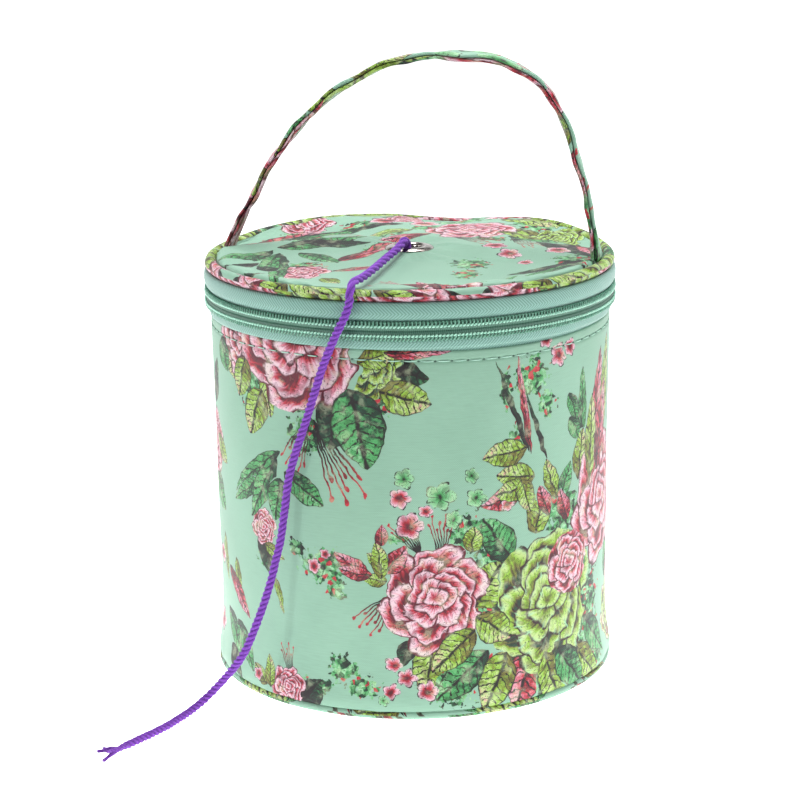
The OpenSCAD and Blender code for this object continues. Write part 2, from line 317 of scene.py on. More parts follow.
WALL_LEAVES_OVER = [
    (-1, 132, 5, 100, 11, 0), (10, 131, 30, 126, 7, 1), (-52, 138, -57, 121, 6.5, 1),
    (-42, 127, -50, 108, 7, 1), (2, 141, 17, 147, 4.5, 1), (12, 145.5, 40, 147.5, 3.2, 3),
    (-73, 142, -66, 129, 5.5, 0), (-35, 101, -51, 74, 5, 0), (-33, 93, -36, 75, 6, 0),
    (-43, 64, -32, 60, 3, 1), (-38, 52, -33, 37, 1.6, 1), (-73, 48, -55, 30, 3.8, 3),
    (-66, 27, -51, 9, 4.5, 0), (6, 58, -7, 60, 3.2, 3), (11, 59, 20, 70, 4.2, 3),
    (10, 57, 8, 72, 3.4, 1), (47, 40, 62, 30, 7, 1), (46, 35, 29, 19, 6.5, 1), (60, 24, 49, 1, 8, 1),
    (78, 20, 85, -5, 7.5, 1), (85, 20, 99, 1, 7.5, 0), (104, 28, 121, 9, 6.5, 0),
    (45, 66, 46, 77, 4.2, 1), (70, 90, 55, 88, 4.6, 1), (66, 93, 71, 79, 4.6, 1),
    (70, 103, 55, 141, 1.3, 2), (92, 113, 99, 103, 3.8, 0), (108, 84, 110, 119, 5.5, 1),
    (115, 86, 125, 122, 6.5, 3), (86, 80, 93, 95, 4.2, 0), (91, 72, 86, 85, 4.2, 3),
    (-40, 5, -42, 19, 3, 1), (-84, 100, -72, 90, 4.5, 1), (134, 34, 146, 50, 6, 3),
]
# Small flowers: across, up, radius, tone
WALL_BLOSSOMS = [
    (17.5, 89, 4.4, 0), (21, 78, 6.4, 0), (33, 89.5, 6.6, 1), (47, 88, 4.6, 1), (19, 97, 4.2, 1),
    (45, 97, 3.2, 1), (27, 84, 3, 0), (38, 80, 4, 1), (78, 146, 3.8, 0), (85, 139, 5.2, 0),
    (92, 141, 3.8, 0), (14, 22.5, 3.8, 0), (19, 17, 4.6, 0), (13, 11.5, 3.8, 0), (10, 8, 2.6, 1),
    (27, 12, 4.8, 0), (-48, 9, 3.2, 0), (-18, 60, 3.6, 0), (-13, 65, 2.6, 0), (60, 84, 3, 0),
    (-84, 50, 5, 0), (-93, 44, 4, 1), (-88, 20, 6, 0), (142, 66, 4, 1), (141, 118, 5, 0),
]
# Stamens and twigs: foot across and up, tip across and up, half width, 0
WALL_SPRIGS = [
    (-17, 118, 1, 84, 11, 0), (-19, 118, -29, 96, 8, 0), (33, 64, 33, 84, 7, 0), (13, 51, 1, 34, 8, 0),
    (-30, 12, -33, 27, 5, 0), (26, 66, 14, 82, 6, 0), (-92, 60, -96, 42, 8, 0),
    (138, 98, 141, 120, 8, 0),
]
# Clumps of small foliage: across, up, half width, half height
WALL_CLUMPS = [
    (-19, 113, 11, 9), (-14, 60, 12, 8), (-26, 66, 5, 4), (-9, 52, 5, 6), (45, 74, 10, 9),
    (72, 132, 9, 10), (79, 121, 5, 7), (-6, 19, 8, 7), (2, 13, 8, 5), (-14, 11, 5, 4), (-22, 8, 5, 7),
    (110, 8, 10, 8), (57, 71, 6, 5), (-42, 58, 6, 5), (98, 112, 3, 3), (16, 73, 6, 3), (-95, 30, 6, 8),
    (144, 84, 6, 8), (54, 60, 10, 12), (64, 108, 4, 8), (60, 128, 3, 9), (62, 14, 22, 14),
    (36, 16, 12, 12), (104, 34, 14, 24), (88, 76, 14, 10), (-58, 136, 8, 6), (56, 44, 12, 12),
    (-50, 128, 10, 10), (10, 128, 8, 8),
]

# The same for the lid, across and up from its middle
LID_ROSES = [
    (16, 38, 20, 0), (-31, -46, 12, 0), (38, -74, 15, 0), (-60, 46, 14, 0.2), (52, 44, 12, 0.8),
    (-18, 62, 10, 0),
]
LID_LEAVES_UNDER = [
    (-70, -4, -50, 40, 8, 3), (-54, -6, -22, 14, 5, 0), (-52, -10, -48, -44, 4, 0),
    (-55, -8, -69, -36, 5, 0), (-24, -24, -4, 14, 5, 3), (34, 50, 74, 12, 10, 1),
    (44, 32, 75, -2, 7, 2), (74, -14, 44, -56, 3.6, 0), (30, -72, 8, -62, 4, 3),
    (-20, -42, -2, -30, 3, 3), (-38, -54, -50, -62, 4, 2), (-46, 62, -20, 76, 5, 1),
    (-60, 20, -28, 46, 5, 2), (-64, 8, -30, 30, 4, 2), (34, 28, 62, 22, 5, 0), (22, 66, 52, 58, 6, 1),
    (-10, 66, 14, 74, 5, 0), (-54, -30, -62, -48, 4, 2), (24, -84, -2, -80, 4, 2),
]
LID_LEAVES_OVER = [
    (-62, 12, -34, 42, 5, 0), (-50, -12, -32, -76, 4, 0), (-44, -8, -22, -26, 5, 0),
    (-48, 2, -18, 6, 4, 2), (28, 36, 68, 30, 7, 1), (74, -10, 48, -34, 3.4, 2),
    (34, -72, 18, -54, 4, 3), (-8, 34, -28, 22, 5, 1), (2, 26, -16, 10, 4, 3),
    (-20, -54, -10, -62, 3.4, 1), (-42, -44, -52, -36, 4, 2), (52, -76, 58, -52, 4, 1),
    (-16, 48, -38, 40, 4, 2), (66, 24, 76, 2, 5, 3),
]
LID_BLOSSOMS = [
    (-26, 54, 8, 0), (-8, 52, 7, 0), (34, 6, 6, 0), (42, -2, 5.4, 0), (50, -10, 4, 0), (-46, 24, 6, 0),
    (60, 6, 6, 0), (2, 58, 6, 1),
]
LID_SPRIGS = [
    (24, -72, 2, -60, 7, 0), (-30, 60, -18, 76, 7, 0), (12, 20, 34, 12, 8, 0),
    (-40, -46, -24, -30, 7, 0), (-18, 30, -34, 14, 8, 0), (-50, 26, -70, 12, 7, 0),
    (36, 24, 52, 8, 7, 0),
]
LID_CLUMPS = [
    (30, -17, 9, 9), (33, -36, 6, 9), (70, -10, 9, 11), (34, -60, 12, 6), (-58, 34, 10, 9),
    (-4, 40, 8, 8), (-36, 46, 8, 7), (-56, -20, 6, 8), (38, 56, 10, 8), (-14, -2, 6, 7),
    (60, -34, 6, 6), (-16, 24, 9, 7), (4, 66, 14, 7), (-46, 8, 10, 8), (30, 20, 8, 5), (-34, -32, 8, 6),
]


# Coordinates that no motif covers
FAR_AWAY = (9.0, 9.0, 0.0)


def covering(net, found, local, tone, reach):
    """The newer motif's coordinates where it covers the point, and the earlier motif's elsewhere."""
    near = net.below(net.vector("DISTANCE", local, (0, 0, tone)), reach)
    return net.mix_vector(near, found, local)


def nearest_round(net, p, spots, reach=1.12):
    """Coordinates within the round motif that covers a point, with its tone, or far away where none does."""
    found = FAR_AWAY
    for u, v, radius, tone, *trim in spots:
        local = net.place_round(p, u, v, radius, radius, tone)
        found = covering(net, found, local, tone, trim[0] if trim else reach)
    return found


def nearest_turned(net, p, spots):
    """The same for motifs given by foot and tip: x runs from -1 at the foot to 1 at the tip."""
    found = FAR_AWAY
    for u0, v0, u1, v1, half, tone in spots:
        length = math.hypot(u1 - u0, v1 - v0) / 2
        turn = math.atan2(v1 - v0, u1 - u0)
        local = net.place_turned(p, (u0 + u1) / 2, (v0 + v1) / 2, length, half, turn, tone)
        found = covering(net, found, local, tone, 1.0)
    return found


def polar(net, local):
    """Local coordinates without their tone, the tone, the distance from the middle and the angle."""
    x, y, tone = net.split(local)
    flat = net.join(x, y)
    return flat, tone, net.vector("LENGTH", flat), net.math("ARCTAN2", y, x)


PETAL_RINGS = [(0.97, 6, 0.3), (0.76, 5, 1.1), (0.56, 4, 2.0), (0.38, 3, 0.7), (0.2, 2, 1.9)]


def rose(net, local):
    """Colour and cover of a full rose: rings of petals with pale edges and red folds, outlined."""
    flat, tone, r, angle = polar(net, local)
    wobble = net.times_add(net.noise(flat, 1.9), 0.5, -0.25)
    r = net.add(r, wobble)
    swirl = net.times_add(r, 1.3, angle)
    depth = 0.0
    line = 0.0
    cover = None
    for edge, petals, phase in PETAL_RINGS:
        lobe = net.size(net.math("SINE", net.times_add(swirl, petals / 2, phase)))
        rim = net.times_add(lobe, 0.17 * edge, 0.83 * edge)
        into = net.less(rim, r)
        inside = net.above(into, 0.0)
        own_depth = net.share(into, 0.24, clamp=True)
        split = net.step(lobe, 0.16, 0.04)
        outline = net.step(into, 0.045, 0.015)
        own_line = net.larger(split, outline)
        depth = net.node("ShaderNodeMix", inside, depth, own_depth).outputs[0]
        line = net.node("ShaderNodeMix", inside, line, own_line).outputs[0]
        cover = inside if cover is None else cover
    strokes = net.noise(net.join(net.times(swirl, 3.2), r), 2.6, 1.0)
    tint = net.times_add(strokes, 0.9, net.less(depth, 0.42), clamp=True)
    pink = net.ramp(tint, (0.0, BLUSH), (0.28, BLUSH), (0.52, PINK), (0.74, RED), (0.98, WINE))
    green = net.ramp(tint, (0.0, PALE_GREEN), (0.3, PALE_LIME), (0.55, LIME), (0.8, OLIVE),
                     (0.98, DARK_GREEN))
    body = net.mix(net.step(net.add(tone, net.times(wobble, 2.0)), 0.35, 0.65), pink, green)
    hatch = net.math("PINGPONG", net.times_add(swirl, 7.0, net.times(strokes, 1.6)), 0.5)
    hatched = net.times(net.step(hatch, 0.15, 0.05), net.step(depth, 0.3, 0.9))
    drawn = net.larger(hatched, net.times(line, net.step(strokes, 0.26, 0.42)))
    return net.mix(drawn, body, net.mix(tone, WINE, INK)), cover


def leaf(net, local):
    """Colour and cover of a leaf with a midrib, side veins and a dark half."""
    x, y, tone = net.split(local)
    side = net.size(y)
    round_foot = net.less(1.0, net.times(x, x), clamp=True)
    width = net.times(net.math("POWER", round_foot, 0.8), net.times_add(x, -0.22, 0.98))
    share = net.share(side, net.larger(width, 0.001))
    cover = net.below(share, 1.0)
    grain = net.noise(net.join(net.times(x, 2.0), net.times(y, 1.1), tone), 3.1, 2.0)
    slope = net.times_add(side, -1.6, net.times(x, 4.2))
    vein = net.size(net.less(net.math("FRACT", net.add(slope, grain)), 0.5))
    ink = net.larger(net.step(vein, 0.15, 0.05), net.step(side, 0.12, 0.04))
    ink = net.larger(ink, net.step(share, 0.84, 0.97))
    ink = net.times(ink, net.step(grain, 0.3, 0.46))
    light = net.times_add(x, 0.3, net.times_add(grain, 1.1, -0.12))
    light = net.times_add(net.step(y, -0.1, 0.1), -0.22, light, clamp=True)
    green = net.ramp(light, (0.1, DARK_GREEN), (0.32, GREEN), (0.55, GREEN), (0.9, PALE_GREEN))
    lime = net.ramp(light, (0.08, OLIVE), (0.3, LIME), (0.55, PALE_LIME), (0.85, PINK))
    dark = net.ramp(light, (0.2, INK), (0.55, DARK_GREEN), (0.95, GREEN))
    pink = net.ramp(light, (0.08, WINE), (0.3, RED), (0.5, PINK), (0.85, BLUSH))
    body = net.mix(net.above(tone, 0.5), green, lime)
    body = net.mix(net.above(tone, 1.5), body, dark)
    body = net.mix(net.above(tone, 2.5), body, pink)
    return net.mix(ink, body, INK), cover


def blossom(net, local):
    """Colour and cover of a small flower with five petals."""
    flat, tone, r, angle = polar(net, local)
    grain = net.noise(flat, 2.6, 2.0)
    lobe = net.size(net.math("COSINE", net.times(angle, 2.5)))
    rim = net.times_add(lobe, 0.28, net.times_add(grain, 0.3, 0.52))
    share = net.share(r, rim)
    pink = net.ramp(net.times(share, net.add(grain, 0.5)),
                    (0.2, WINE), (0.42, RED), (0.62, PINK), (0.85, BLUSH))
    green = net.ramp(net.times(share, net.add(grain, 0.5)),
                     (0.1, INK), (0.3, GREEN), (0.85, PALE_GREEN))
    ink = net.larger(net.step(share, 0.84, 0.95), net.step(lobe, 0.22, 0.08))
    ink = net.times(ink, net.step(grain, 0.38, 0.5))
    return net.mix(ink, net.mix(tone, pink, green), INK), net.below(share, 1.0)


def sprig(net, local):
    """Colour and cover of a fan of red stems that end in dots, from its foot at x = -1."""
    x, y, _ = net.split(local)
    out = net.times_add(x, 0.5, 0.5)
    share = net.share(y, net.larger(net.math("POWER", out, 0.8), 0.01))
    ray = net.math("ROUND", net.times(share, 3.6))
    reach = net.times_add(net.math("SINE", net.times(ray, 4.1)), 0.16, 0.76)
    off = net.times(net.size(net.times_add(ray, -1 / 3.6, share)), out)
    fan = net.below(net.size(ray), 3.5)
    stem = net.times(net.below(off, 0.03), net.below(out, reach))
    tip = net.vector("LENGTH", net.join(net.times_add(reach, -2.0, net.times(out, 2.0)), off))
    drawn = net.larger(stem, net.below(tip, 0.075))
    return net.mix(net.step(out, 0.3, 0.9), INK, RED), net.times(drawn, fan)


def clump(net, p, spots):
    """Colour and cover of small foliage, drawn as ragged cells of several greens."""
    nearest = 9.0
    for u, v, half_width, half_height in spots:
        local = net.place_round(p, u, v, half_width, half_height)
        nearest = net.math("MINIMUM", nearest, net.vector("LENGTH", local))
    ragged = net.noise(p, 0.42, 3.0)
    cells = net.cells(p, 0.55)
    pick = net.split(cells["Color"])[0]
    edge = net.add(nearest, net.times_add(ragged, 1.8, -0.9))
    cover = net.below(net.add(edge, net.times(cells["Distance"], 0.5)), 1.02)
    body = net.ramp(net.times_add(ragged, 0.9, net.times_add(pick, 0.5, -0.22)),
                    (0.12, INK), (0.32, DARK_GREEN), (0.46, GREEN), (0.7, PALE_GREEN))
    red_spot = net.above(pick, 0.9)
    return net.mix(red_spot, body, RED), cover


def brushed(net, p, colour, covered):
    """Pale washes, deep shadows and pen lines over the motifs."""
    brush = net.noise(p, 0.2, 3.0)
    pale = net.times(net.step(brush, 0.5, 0.68), net.times(covered, 0.3))
    colour = net.mix(pale, colour, WASH)
    deep = net.times(net.step(brush, 0.46, 0.34), net.times(covered, 0.45))
    colour = net.mix(deep, colour, WINE, "MULTIPLY")
    contour = net.size(net.less(net.math("FRACT", net.times(brush, 11.0)), 0.5))
    pen = net.times(net.step(contour, 0.09, 0.04), net.times(covered, 0.75))
    return net.mix(pen, colour, INK)


def print_group(name, repeat, roses, under, over, blossoms, sprigs, clumps):
    """A node group that turns a place on the cloth, in millimetres, into the print's colour."""
    tree = bpy.data.node_groups.new(name, "ShaderNodeTree")
    tree.interface.new_socket("Place", in_out="INPUT", socket_type="NodeSocketVector")
    tree.interface.new_socket("Color", in_out="OUTPUT", socket_type="NodeSocketColor")
    net = Net(tree)
    p = net.node("NodeGroupInput").outputs[0]
    if repeat:
        middle, half = repeat
        x, y, _ = net.split(p)
        p = net.join(net.math("WRAP", x, middle + half, middle - half), y)
    shake = net.vector("SUBTRACT", net.noise(p, 0.16, 2.0, colour=True), (0.5, 0.5, 0.5))
    p = net.vector("MULTIPLY", net.vector("ADD", p, net.scaled(shake, 3.0)), (1, 1, 0))
    p = net.vector("ADD", p, (0, 0, 1))
    wash = net.noise(p, 0.03, 1.0)
    colour = net.mix(net.step(wash, 0.35, 0.7), MINT, DEEP_MINT)
    covered = 0.0
    layers = [
        clump(net, p, clumps),
        sprig(net, nearest_turned(net, p, sprigs)),
        leaf(net, nearest_turned(net, p, under)),
        blossom(net, nearest_round(net, p, blossoms)),
        rose(net, nearest_round(net, p, roses)),
        leaf(net, nearest_turned(net, p, over)),
    ]
    for body, cover in layers:
        colour = net.mix(cover, colour, body)
        covered = net.larger(covered, cover)
    net.feed(net.node("NodeGroupOutput").inputs[0], brushed(net, p, colour, covered))
    return tree


# The wall shows half of the round from the front, and the same half is printed again at the back.
REPEAT = (22.7, math.pi * PRINT_R / 2)
WALL_PRINT = print_group("print_wall", REPEAT, WALL_ROSES, WALL_LEAVES_UNDER, WALL_LEAVES_OVER,
                         WALL_BLOSSOMS, WALL_SPRIGS, WALL_CLUMPS)
LID_PRINT = print_group("print_lid", None, LID_ROSES, LID_LEAVES_UNDER, LID_LEAVES_OVER,
                        LID_BLOSSOMS, LID_SPRIGS, LID_CLUMPS)


# ---------------------------------------------------------------- materials

def paint(net, shader, tone, *stops):
    """Base colour by tone; each stop is a position with its red, green and blue."""
    net.feed(shader.inputs["Base Color"], net.ramp(tone, *[(at, srgb(*rgb)) for at, *rgb in stops]))


def roughen(net, shader, value, gain, least):
    net.feed(shader.inputs["Roughness"], net.times_add(value, gain, least))


def grained(stretch, scale, detail, stops, rough, bump, specular=0.5):
    """A surface whose colour, roughness and bump follow one noise, stretched over the object."""
    def build(net, shader):
        grain = net.noise(net.vector("MULTIPLY", net.object_mm(), stretch), scale, detail)
        paint(net, shader, grain, *stops)
        roughen(net, shader, grain, *rough)
        shader.inputs["Specular IOR Level"].default_value = specular
        return grain, *bump
    return build


def weave(net, place, threads):
    """Height of a plain weave with a number of threads to the millimetre."""
    x, y, _ = net.split(net.scaled(place, threads * math.pi))
    return net.times(net.math("SINE", x), net.math("SINE", y))


def printed(group, coordinates):
    """The satin print on a fine weave."""
    def build(net, shader):
        place = coordinates(net)
        colour = net.node("ShaderNodeGroup", node_tree=group)
        net.feed(colour.inputs[0], place)
        slub = net.noise(net.vector("MULTIPLY", place, (0.15, 2.2, 1.0)), 1.0, 2.0)
        dye = net.ramp(slub, (0.3, (0.61, 0.61, 0.6, 1)), (0.7, (0.67, 0.67, 0.66, 1)))
        shaded = net.mix(1.0, colour.outputs[0], dye, "MULTIPLY")
        net.feed(shader.inputs["Base Color"], shaded)
        roughen(net, shader, slub, 0.16, 0.42)
        shader.inputs["Sheen Weight"].default_value = 0.06
        shader.inputs["Sheen Roughness"].default_value = 0.4
        shader.inputs["Specular IOR Level"].default_value = 0.3
        return net.times_add(slub, 0.6, weave(net, place, 2.4)), 0.00006, 0.6
    return build


def drum_place(net):
    """Round the wall and up it: x is the arc from the front."""
    x, y, z = net.split(net.object_mm())
    angle = net.math("ARCTAN2", x, net.times(y, -1.0))
    return net.join(net.times(angle, PRINT_R), z)


def flat_place(net):
    return net.vector("MULTIPLY", net.object_mm(), (1, 1, 0))


def herringbone(net, shader):
    """Zipper tape: ribs that meet in a chevron, light on dark."""
    x, y, _ = net.split(net.cloth_mm())
    slope = net.add(x, net.size(y))
    rib = net.math("PINGPONG", slope, 0.65)
    fibres = net.noise(net.join(x, net.times(y, 4.0)), 1.2, 2.0)
    raised = net.step(rib, 0.12, 0.5)
    tone = net.times_add(fibres, 0.35, net.times(raised, 0.85), clamp=True)
    paint(net, shader, tone, (0.1, 82, 124, 112), (0.55, 98, 141, 129), (1.0, 116, 158, 147))
    roughen(net, shader, fibres, 0.2, 0.45)
    shader.inputs["Sheen Weight"].default_value = 0.2
    return net.add(raised, net.times(fibres, 0.5)), 0.0001, 0.7


def chain_floor_painted_shade(net, shader):
    """The floor of the chain between its two rows of stitches, hatched by the coil's legs, painted darker
    than the coil as the shade in the groove.
    """
    x, y, _ = net.split(net.cloth_mm())
    leg = net.math("PINGPONG", net.times_add(y, 0.3, x), 0.35)
    grain = net.noise(net.join(x, y), 1.5, 2.0)
    tone = net.times_add(leg, 1.6, net.times(grain, 0.4))
    # Painted shade: the floor is coloured darker than the coil for the shade in the groove between the two
    # rows of stitches.
    paint(net, shader, tone, (0.15, 44, 78, 64), (0.5, 66, 106, 90), (0.85, 92, 136, 118))
    roughen(net, shader, grain, 0.2, 0.35)
    return leg, 0.0002, 0.8


def needle_hole(net, shader):
    """Dent where the thread goes in, painted dark as the shade inside it."""
    grain = net.noise(net.object_mm(), 2.0, 2.0)
    # Painted shade: dark green-grey for the shade inside each needle hole.
    paint(net, shader, grain, (0.3, 44, 66, 56), (0.7, 78, 108, 94))
    shader.inputs["Roughness"].default_value = 0.9
    return None


def lining(net, shader):
    """Pale polyester lining with a plain weave and faint streaks."""
    place = net.cloth_mm()
    streak = net.noise(net.vector("MULTIPLY", place, (0.2, 1.6, 1.0)), 1.0, 3.0)
    cloudy = net.noise(place, 0.03, 2.0)
    base = net.ramp(streak, (0.3, srgb(206, 220, 214)), (0.7, srgb(232, 240, 236)))
    net.feed(shader.inputs["Base Color"],
             net.mix(net.times(cloudy, 0.25), base, srgb(196, 214, 206), "MULTIPLY"))
    roughen(net, shader, streak, 0.2, 0.5)
    shader.inputs["Sheen Weight"].default_value = 0.3
    return net.times_add(streak, 0.5, weave(net, place, 2.0)), 0.00008, 0.7


def binding(net, shader):
    """Ribbed seam tape."""
    place = net.cloth_mm()
    rib = net.math("PINGPONG", net.split(place)[0], 0.45)
    grain = net.noise(place, 1.1, 2.0)
    tone = net.add(rib, grain)
    paint(net, shader, tone, (0.35, 150, 198, 182), (0.9, 196, 228, 216))
    roughen(net, shader, grain, 0.2, 0.55)
    return rib, 0.0002, 0.7


def nickel(net, shader):
    """Plated steel with fine scratches and dull patches."""
    place = net.object_mm()
    scratch = net.noise(net.vector("MULTIPLY", place, (3.0, 0.4, 3.0)), 1.3, 4.0)
    dull = net.noise(place, 0.35, 3.0)
    paint(net, shader, dull, (0.35, 120, 112, 108), (0.65, 186, 180, 176))
    net.feed(shader.inputs["Roughness"], net.times_add(dull, 0.16, net.times_add(scratch, 0.1, 0.05)))
    shader.inputs["Metallic"].default_value = 1.0
    return scratch, 0.00002, 0.4


def wool(net, shader):
    """Purple acrylic yarn: strands along the twist, with paler loose fibres, and painted shade that is
    lighter on each ply's crown and darker between the plies.
    """
    place = net.cloth_mm()
    x, y, _ = net.split(place)
    strands = net.noise(net.join(net.times(net.add(x, y), 0.5), net.times(y, 5.0)), 1.4, 3.0)
    fluff = net.noise(net.object_mm(), 2.4, 4.0)
    # Painted shade and highlight: ply follows the three lobes of the plied mesh, lighter on each ply's crown
    # and darker in the grooves between plies.
    twist = net.times_add(y, 3 * math.pi / YARN_GIRTH, net.times(x, -3 * math.pi / PLY_LEAD))
    ply = net.size(net.math("COSINE", twist))
    tone = net.times_add(fluff, 0.4, net.times(strands, 0.35))
    tone = net.times_add(net.math("POWER", ply, 0.6), 0.3, net.less(tone, 0.08))
    paint(net, shader, tone, (0.28, 56, 18, 98), (0.5, 98, 38, 148), (0.72, 136, 76, 188))
    roughen(net, shader, fluff, 0.15, 0.78)
    shader.inputs["Sheen Weight"].default_value = 0.22
    shader.inputs["Sheen Roughness"].default_value = 0.5
    shader.inputs["Sheen Tint"].default_value = srgb(190, 150, 236)
    return tone, 0.0005, 0.9


def glowing_paper(net, shader):
    """White studio floor that glows, more strongly near the bag: painted light that makes it nearly as bright
    as the backdrop and brightens the foot of the wall.
    """
    grain = net.noise(net.object_mm(), 0.02, 2.0)
    white = net.ramp(grain, (0.3, (0.93, 0.93, 0.93, 1)), (0.7, (0.96, 0.96, 0.96, 1)))
    net.feed(shader.inputs["Base Color"], white)
    shader.inputs["Roughness"].default_value = 0.9
    shader.inputs["Specular IOR Level"].default_value = 0.1
    shader.inputs["Emission Color"].default_value = (1, 1, 1, 1)
    # Painted light: the floor glows at 2.2 near the middle, falling to 0.9 between 100 and 240 mm out.
    away = net.vector("LENGTH", net.object_mm())
    net.feed(shader.inputs["Emission Strength"], net.times_add(net.step(away, 100.0, 240.0), -1.3, 2.2))
    return None


M = {
    "wall": material("print_on_wall", printed(WALL_PRINT, drum_place)),
    "lid": material("print_on_lid", printed(LID_PRINT, flat_place)),
    "strip": material("print_on_strips", printed(WALL_PRINT, Net.cloth_mm)),
    "tape": material("zipper_tape_weave", herringbone),
    "coil": material("zipper_coil_plastic", grained(
        (1, 1, 1), 0.8, 3.0, [(0.3, 80, 132, 112), (0.6, 98, 152, 130), (0.8, 112, 168, 146)],
        (0.25, 0.16), (0.00004, 0.4), 0.6)),
    "chain": material("zipper_chain_floor", chain_floor_painted_shade),
    "bead": material("zipper_stitches", grained(
        (1, 1, 1), 1.4, 2.0, [(0.3, 128, 182, 160), (0.7, 164, 212, 192)], (0.2, 0.15), (0.00005, 0.4))),
    "hole": material("needle_holes_painted_shade", needle_hole),
    "thread": material("sewing_thread", grained(
        (6, 6, 9), 0.7, 1.0, [(0.3, 140, 188, 168), (0.7, 176, 212, 196)], (0.2, 0.4), (0.00008, 0.7))),
    "lining": material("lining_cloth", lining),
    "binding": material("seam_tape", binding),
    "board": material("card_board", grained(
        (1, 0.3, 1), 0.9, 4.0, [(0.3, 176, 160, 128), (0.7, 206, 192, 160)], (0.1, 0.8), (0.0002, 0.5))),
    "nickel": material("nickel_plate", nickel),
    "yarn": material("purple_yarn", wool),
    "glowing_paper": material("studio_paper", glowing_paper),
}


# ---------------------------------------------------------------- mesh helpers

def keep(name, vertices, faces, finish, cloth=None):
    """An object from points in millimetres and faces; cloth gives each face corner its place on the cloth."""
    mesh = bpy.data.meshes.new(name)
    mesh.from_pydata((np.asarray(vertices) * MM).tolist(), [], faces)
    mesh.polygons.foreach_set("use_smooth", [True] * len(mesh.polygons))
    if cloth is not None:
        attribute = mesh.attributes.new("cloth", "FLOAT_VECTOR", "CORNER")
        attribute.data.foreach_set("vector", np.asarray(cloth, np.float32).ravel())
    made = bpy.data.objects.new(name, mesh)
    bpy.context.scene.collection.objects.link(made)
    mesh.materials.append(M[finish])
    return made


def outwards(made):
    """Turns all faces of a closed mesh outwards."""
    work = bmesh.new()
    work.from_mesh(made.data)
    bmesh.ops.recalc_face_normals(work, faces=work.faces)
    work.to_mesh(made.data)
    work.free()
    return made


def arc_along(points):
    """Distance along a line at each of its points."""
    return np.concatenate([[0], np.cumsum(np.linalg.norm(np.diff(points, axis=0), axis=1))])


def girth_of(section):
    """Distance round a closed section at each of its points, with the first point again at the end."""
    return arc_along(np.vstack([section, section[:1]]))


def laid_flat(rings, closed=False):
    """Cloth places straight from the points' own x and y."""
    return np.pad(rings, ((0, int(closed)), (0, 1), (0, 0)), "wrap")[..., :2]


def skin_parts(rings, closed, cloth, first=0):
    """Vertices, faces and face-corner cloth places of a skin over rings of points."""
    rows, cols = rings.shape[:2]
    faces, places = [], []
    if cloth is None:
        cloth = np.zeros((rows + 1, cols + 1, 2))
    for i in range(rows if closed else rows - 1):
        for j in range(cols):
            row, next_row = first + i * cols, first + (i + 1) % rows * cols
            m = (j + 1) % cols
            faces.append([row + j, row + m, next_row + m, next_row + j])
            places += [cloth[i, j], cloth[i, j + 1], cloth[i + 1, j + 1], cloth[i + 1, j]]
    if not closed:
        faces.append([first + j for j in reversed(range(cols))])
        places += [cloth[0, j] for j in reversed(range(cols))]
        faces.append([first + (rows - 1) * cols + j for j in range(cols)])
        places += [cloth[rows - 1, j] for j in range(cols)]
    return rings.reshape(-1, 3), faces, places


def skin(name, rings, finish, closed=False, cloth=None):
    """A closed mesh over rings of points. cloth has one column more than the rings, and one row more
    if closed."""
    vertices, faces, places = skin_parts(np.asarray(rings, float), closed, cloth)
    places = np.array(places, float)
    places = np.column_stack([places, np.zeros(len(places))])
    return outwards(keep(name, vertices, faces, finish, places))


def round_points(angles, radii, heights):
    """Points of a ring or wall; an angle is measured from the front towards the right."""
    return np.stack([radii * np.sin(angles), -radii * np.cos(angles), heights], -1)


def round_skin(name, section, angles, finish, closed, shape=None, place=None):
    """A section of (radius, height) points carried round the bag, with its cloth laid out flat.
    shape bends it by angle, radius and height; place moves its cloth."""
    section = np.asarray(section, float)
    theta = angles[:, None] + np.zeros(len(section))
    radius = section[:, 0] + np.zeros((len(angles), 1))
    height = section[:, 1] + np.zeros((len(angles), 1))
    if shape:
        radius, height = shape(theta, radius, height)
    rings = round_points(theta, radius, height)
    girth = girth_of(section)
    turns = np.append(angles, angles[0] + TURN) if closed else angles
    across = np.add.outer(turns * PRINT_R, np.zeros(len(girth)))
    up = np.add.outer(np.zeros(len(turns)), girth + section[0, 1])
    if place:
        across, up = place(across, up)
    return skin(name, rings, finish, closed, np.stack([across, up], -1))


def there_and_back(arc):
    """Runs back and forth along the part of the print with the most roses, so that strips look even."""
    return 12 + np.abs((arc + 100) % 200 - 100)


def whole_round(steps):
    return np.arange(steps) * TURN / steps


def smooth_random(seed, period, waves):
    """A smooth function that repeats, made from a few seeded waves; it stays within about one."""
    rng = np.random.default_rng(seed)
    phases = rng.uniform(0, TURN, len(waves))
    sizes = rng.uniform(0.5, 1.0, len(waves))
    parts = list(zip(waves, phases, sizes / sizes.sum()))
    return lambda s: sum(a * np.sin(TURN * n * s / period + f) for n, f, a in parts)


def spline(points, spacing):
    """A smooth line through points, resampled at an even spacing."""
    points = np.asarray(points, float)
    padded = np.vstack([2 * points[0] - points[1], points, 2 * points[-1] - points[-2]])
    t = np.linspace(0, 1, 12, endpoint=False)[:, None]
    pieces = []
    for a, b, c, d in zip(padded, padded[1:], padded[2:], padded[3:]):
        square = a - 2.5 * b + 2 * c - d / 2
        cube = -a / 2 + 1.5 * b - 1.5 * c + d / 2
        pieces.append(b + (c - a) * t / 2 + square * t**2 + cube * t**3)
    line = np.vstack(pieces + [points[-1:]])
    arc = arc_along(line)
    even = np.linspace(0, arc[-1], max(2, round(arc[-1] / spacing) + 1))
    return np.stack([np.interp(even, arc, line[:, k]) for k in range(3)], 1), even


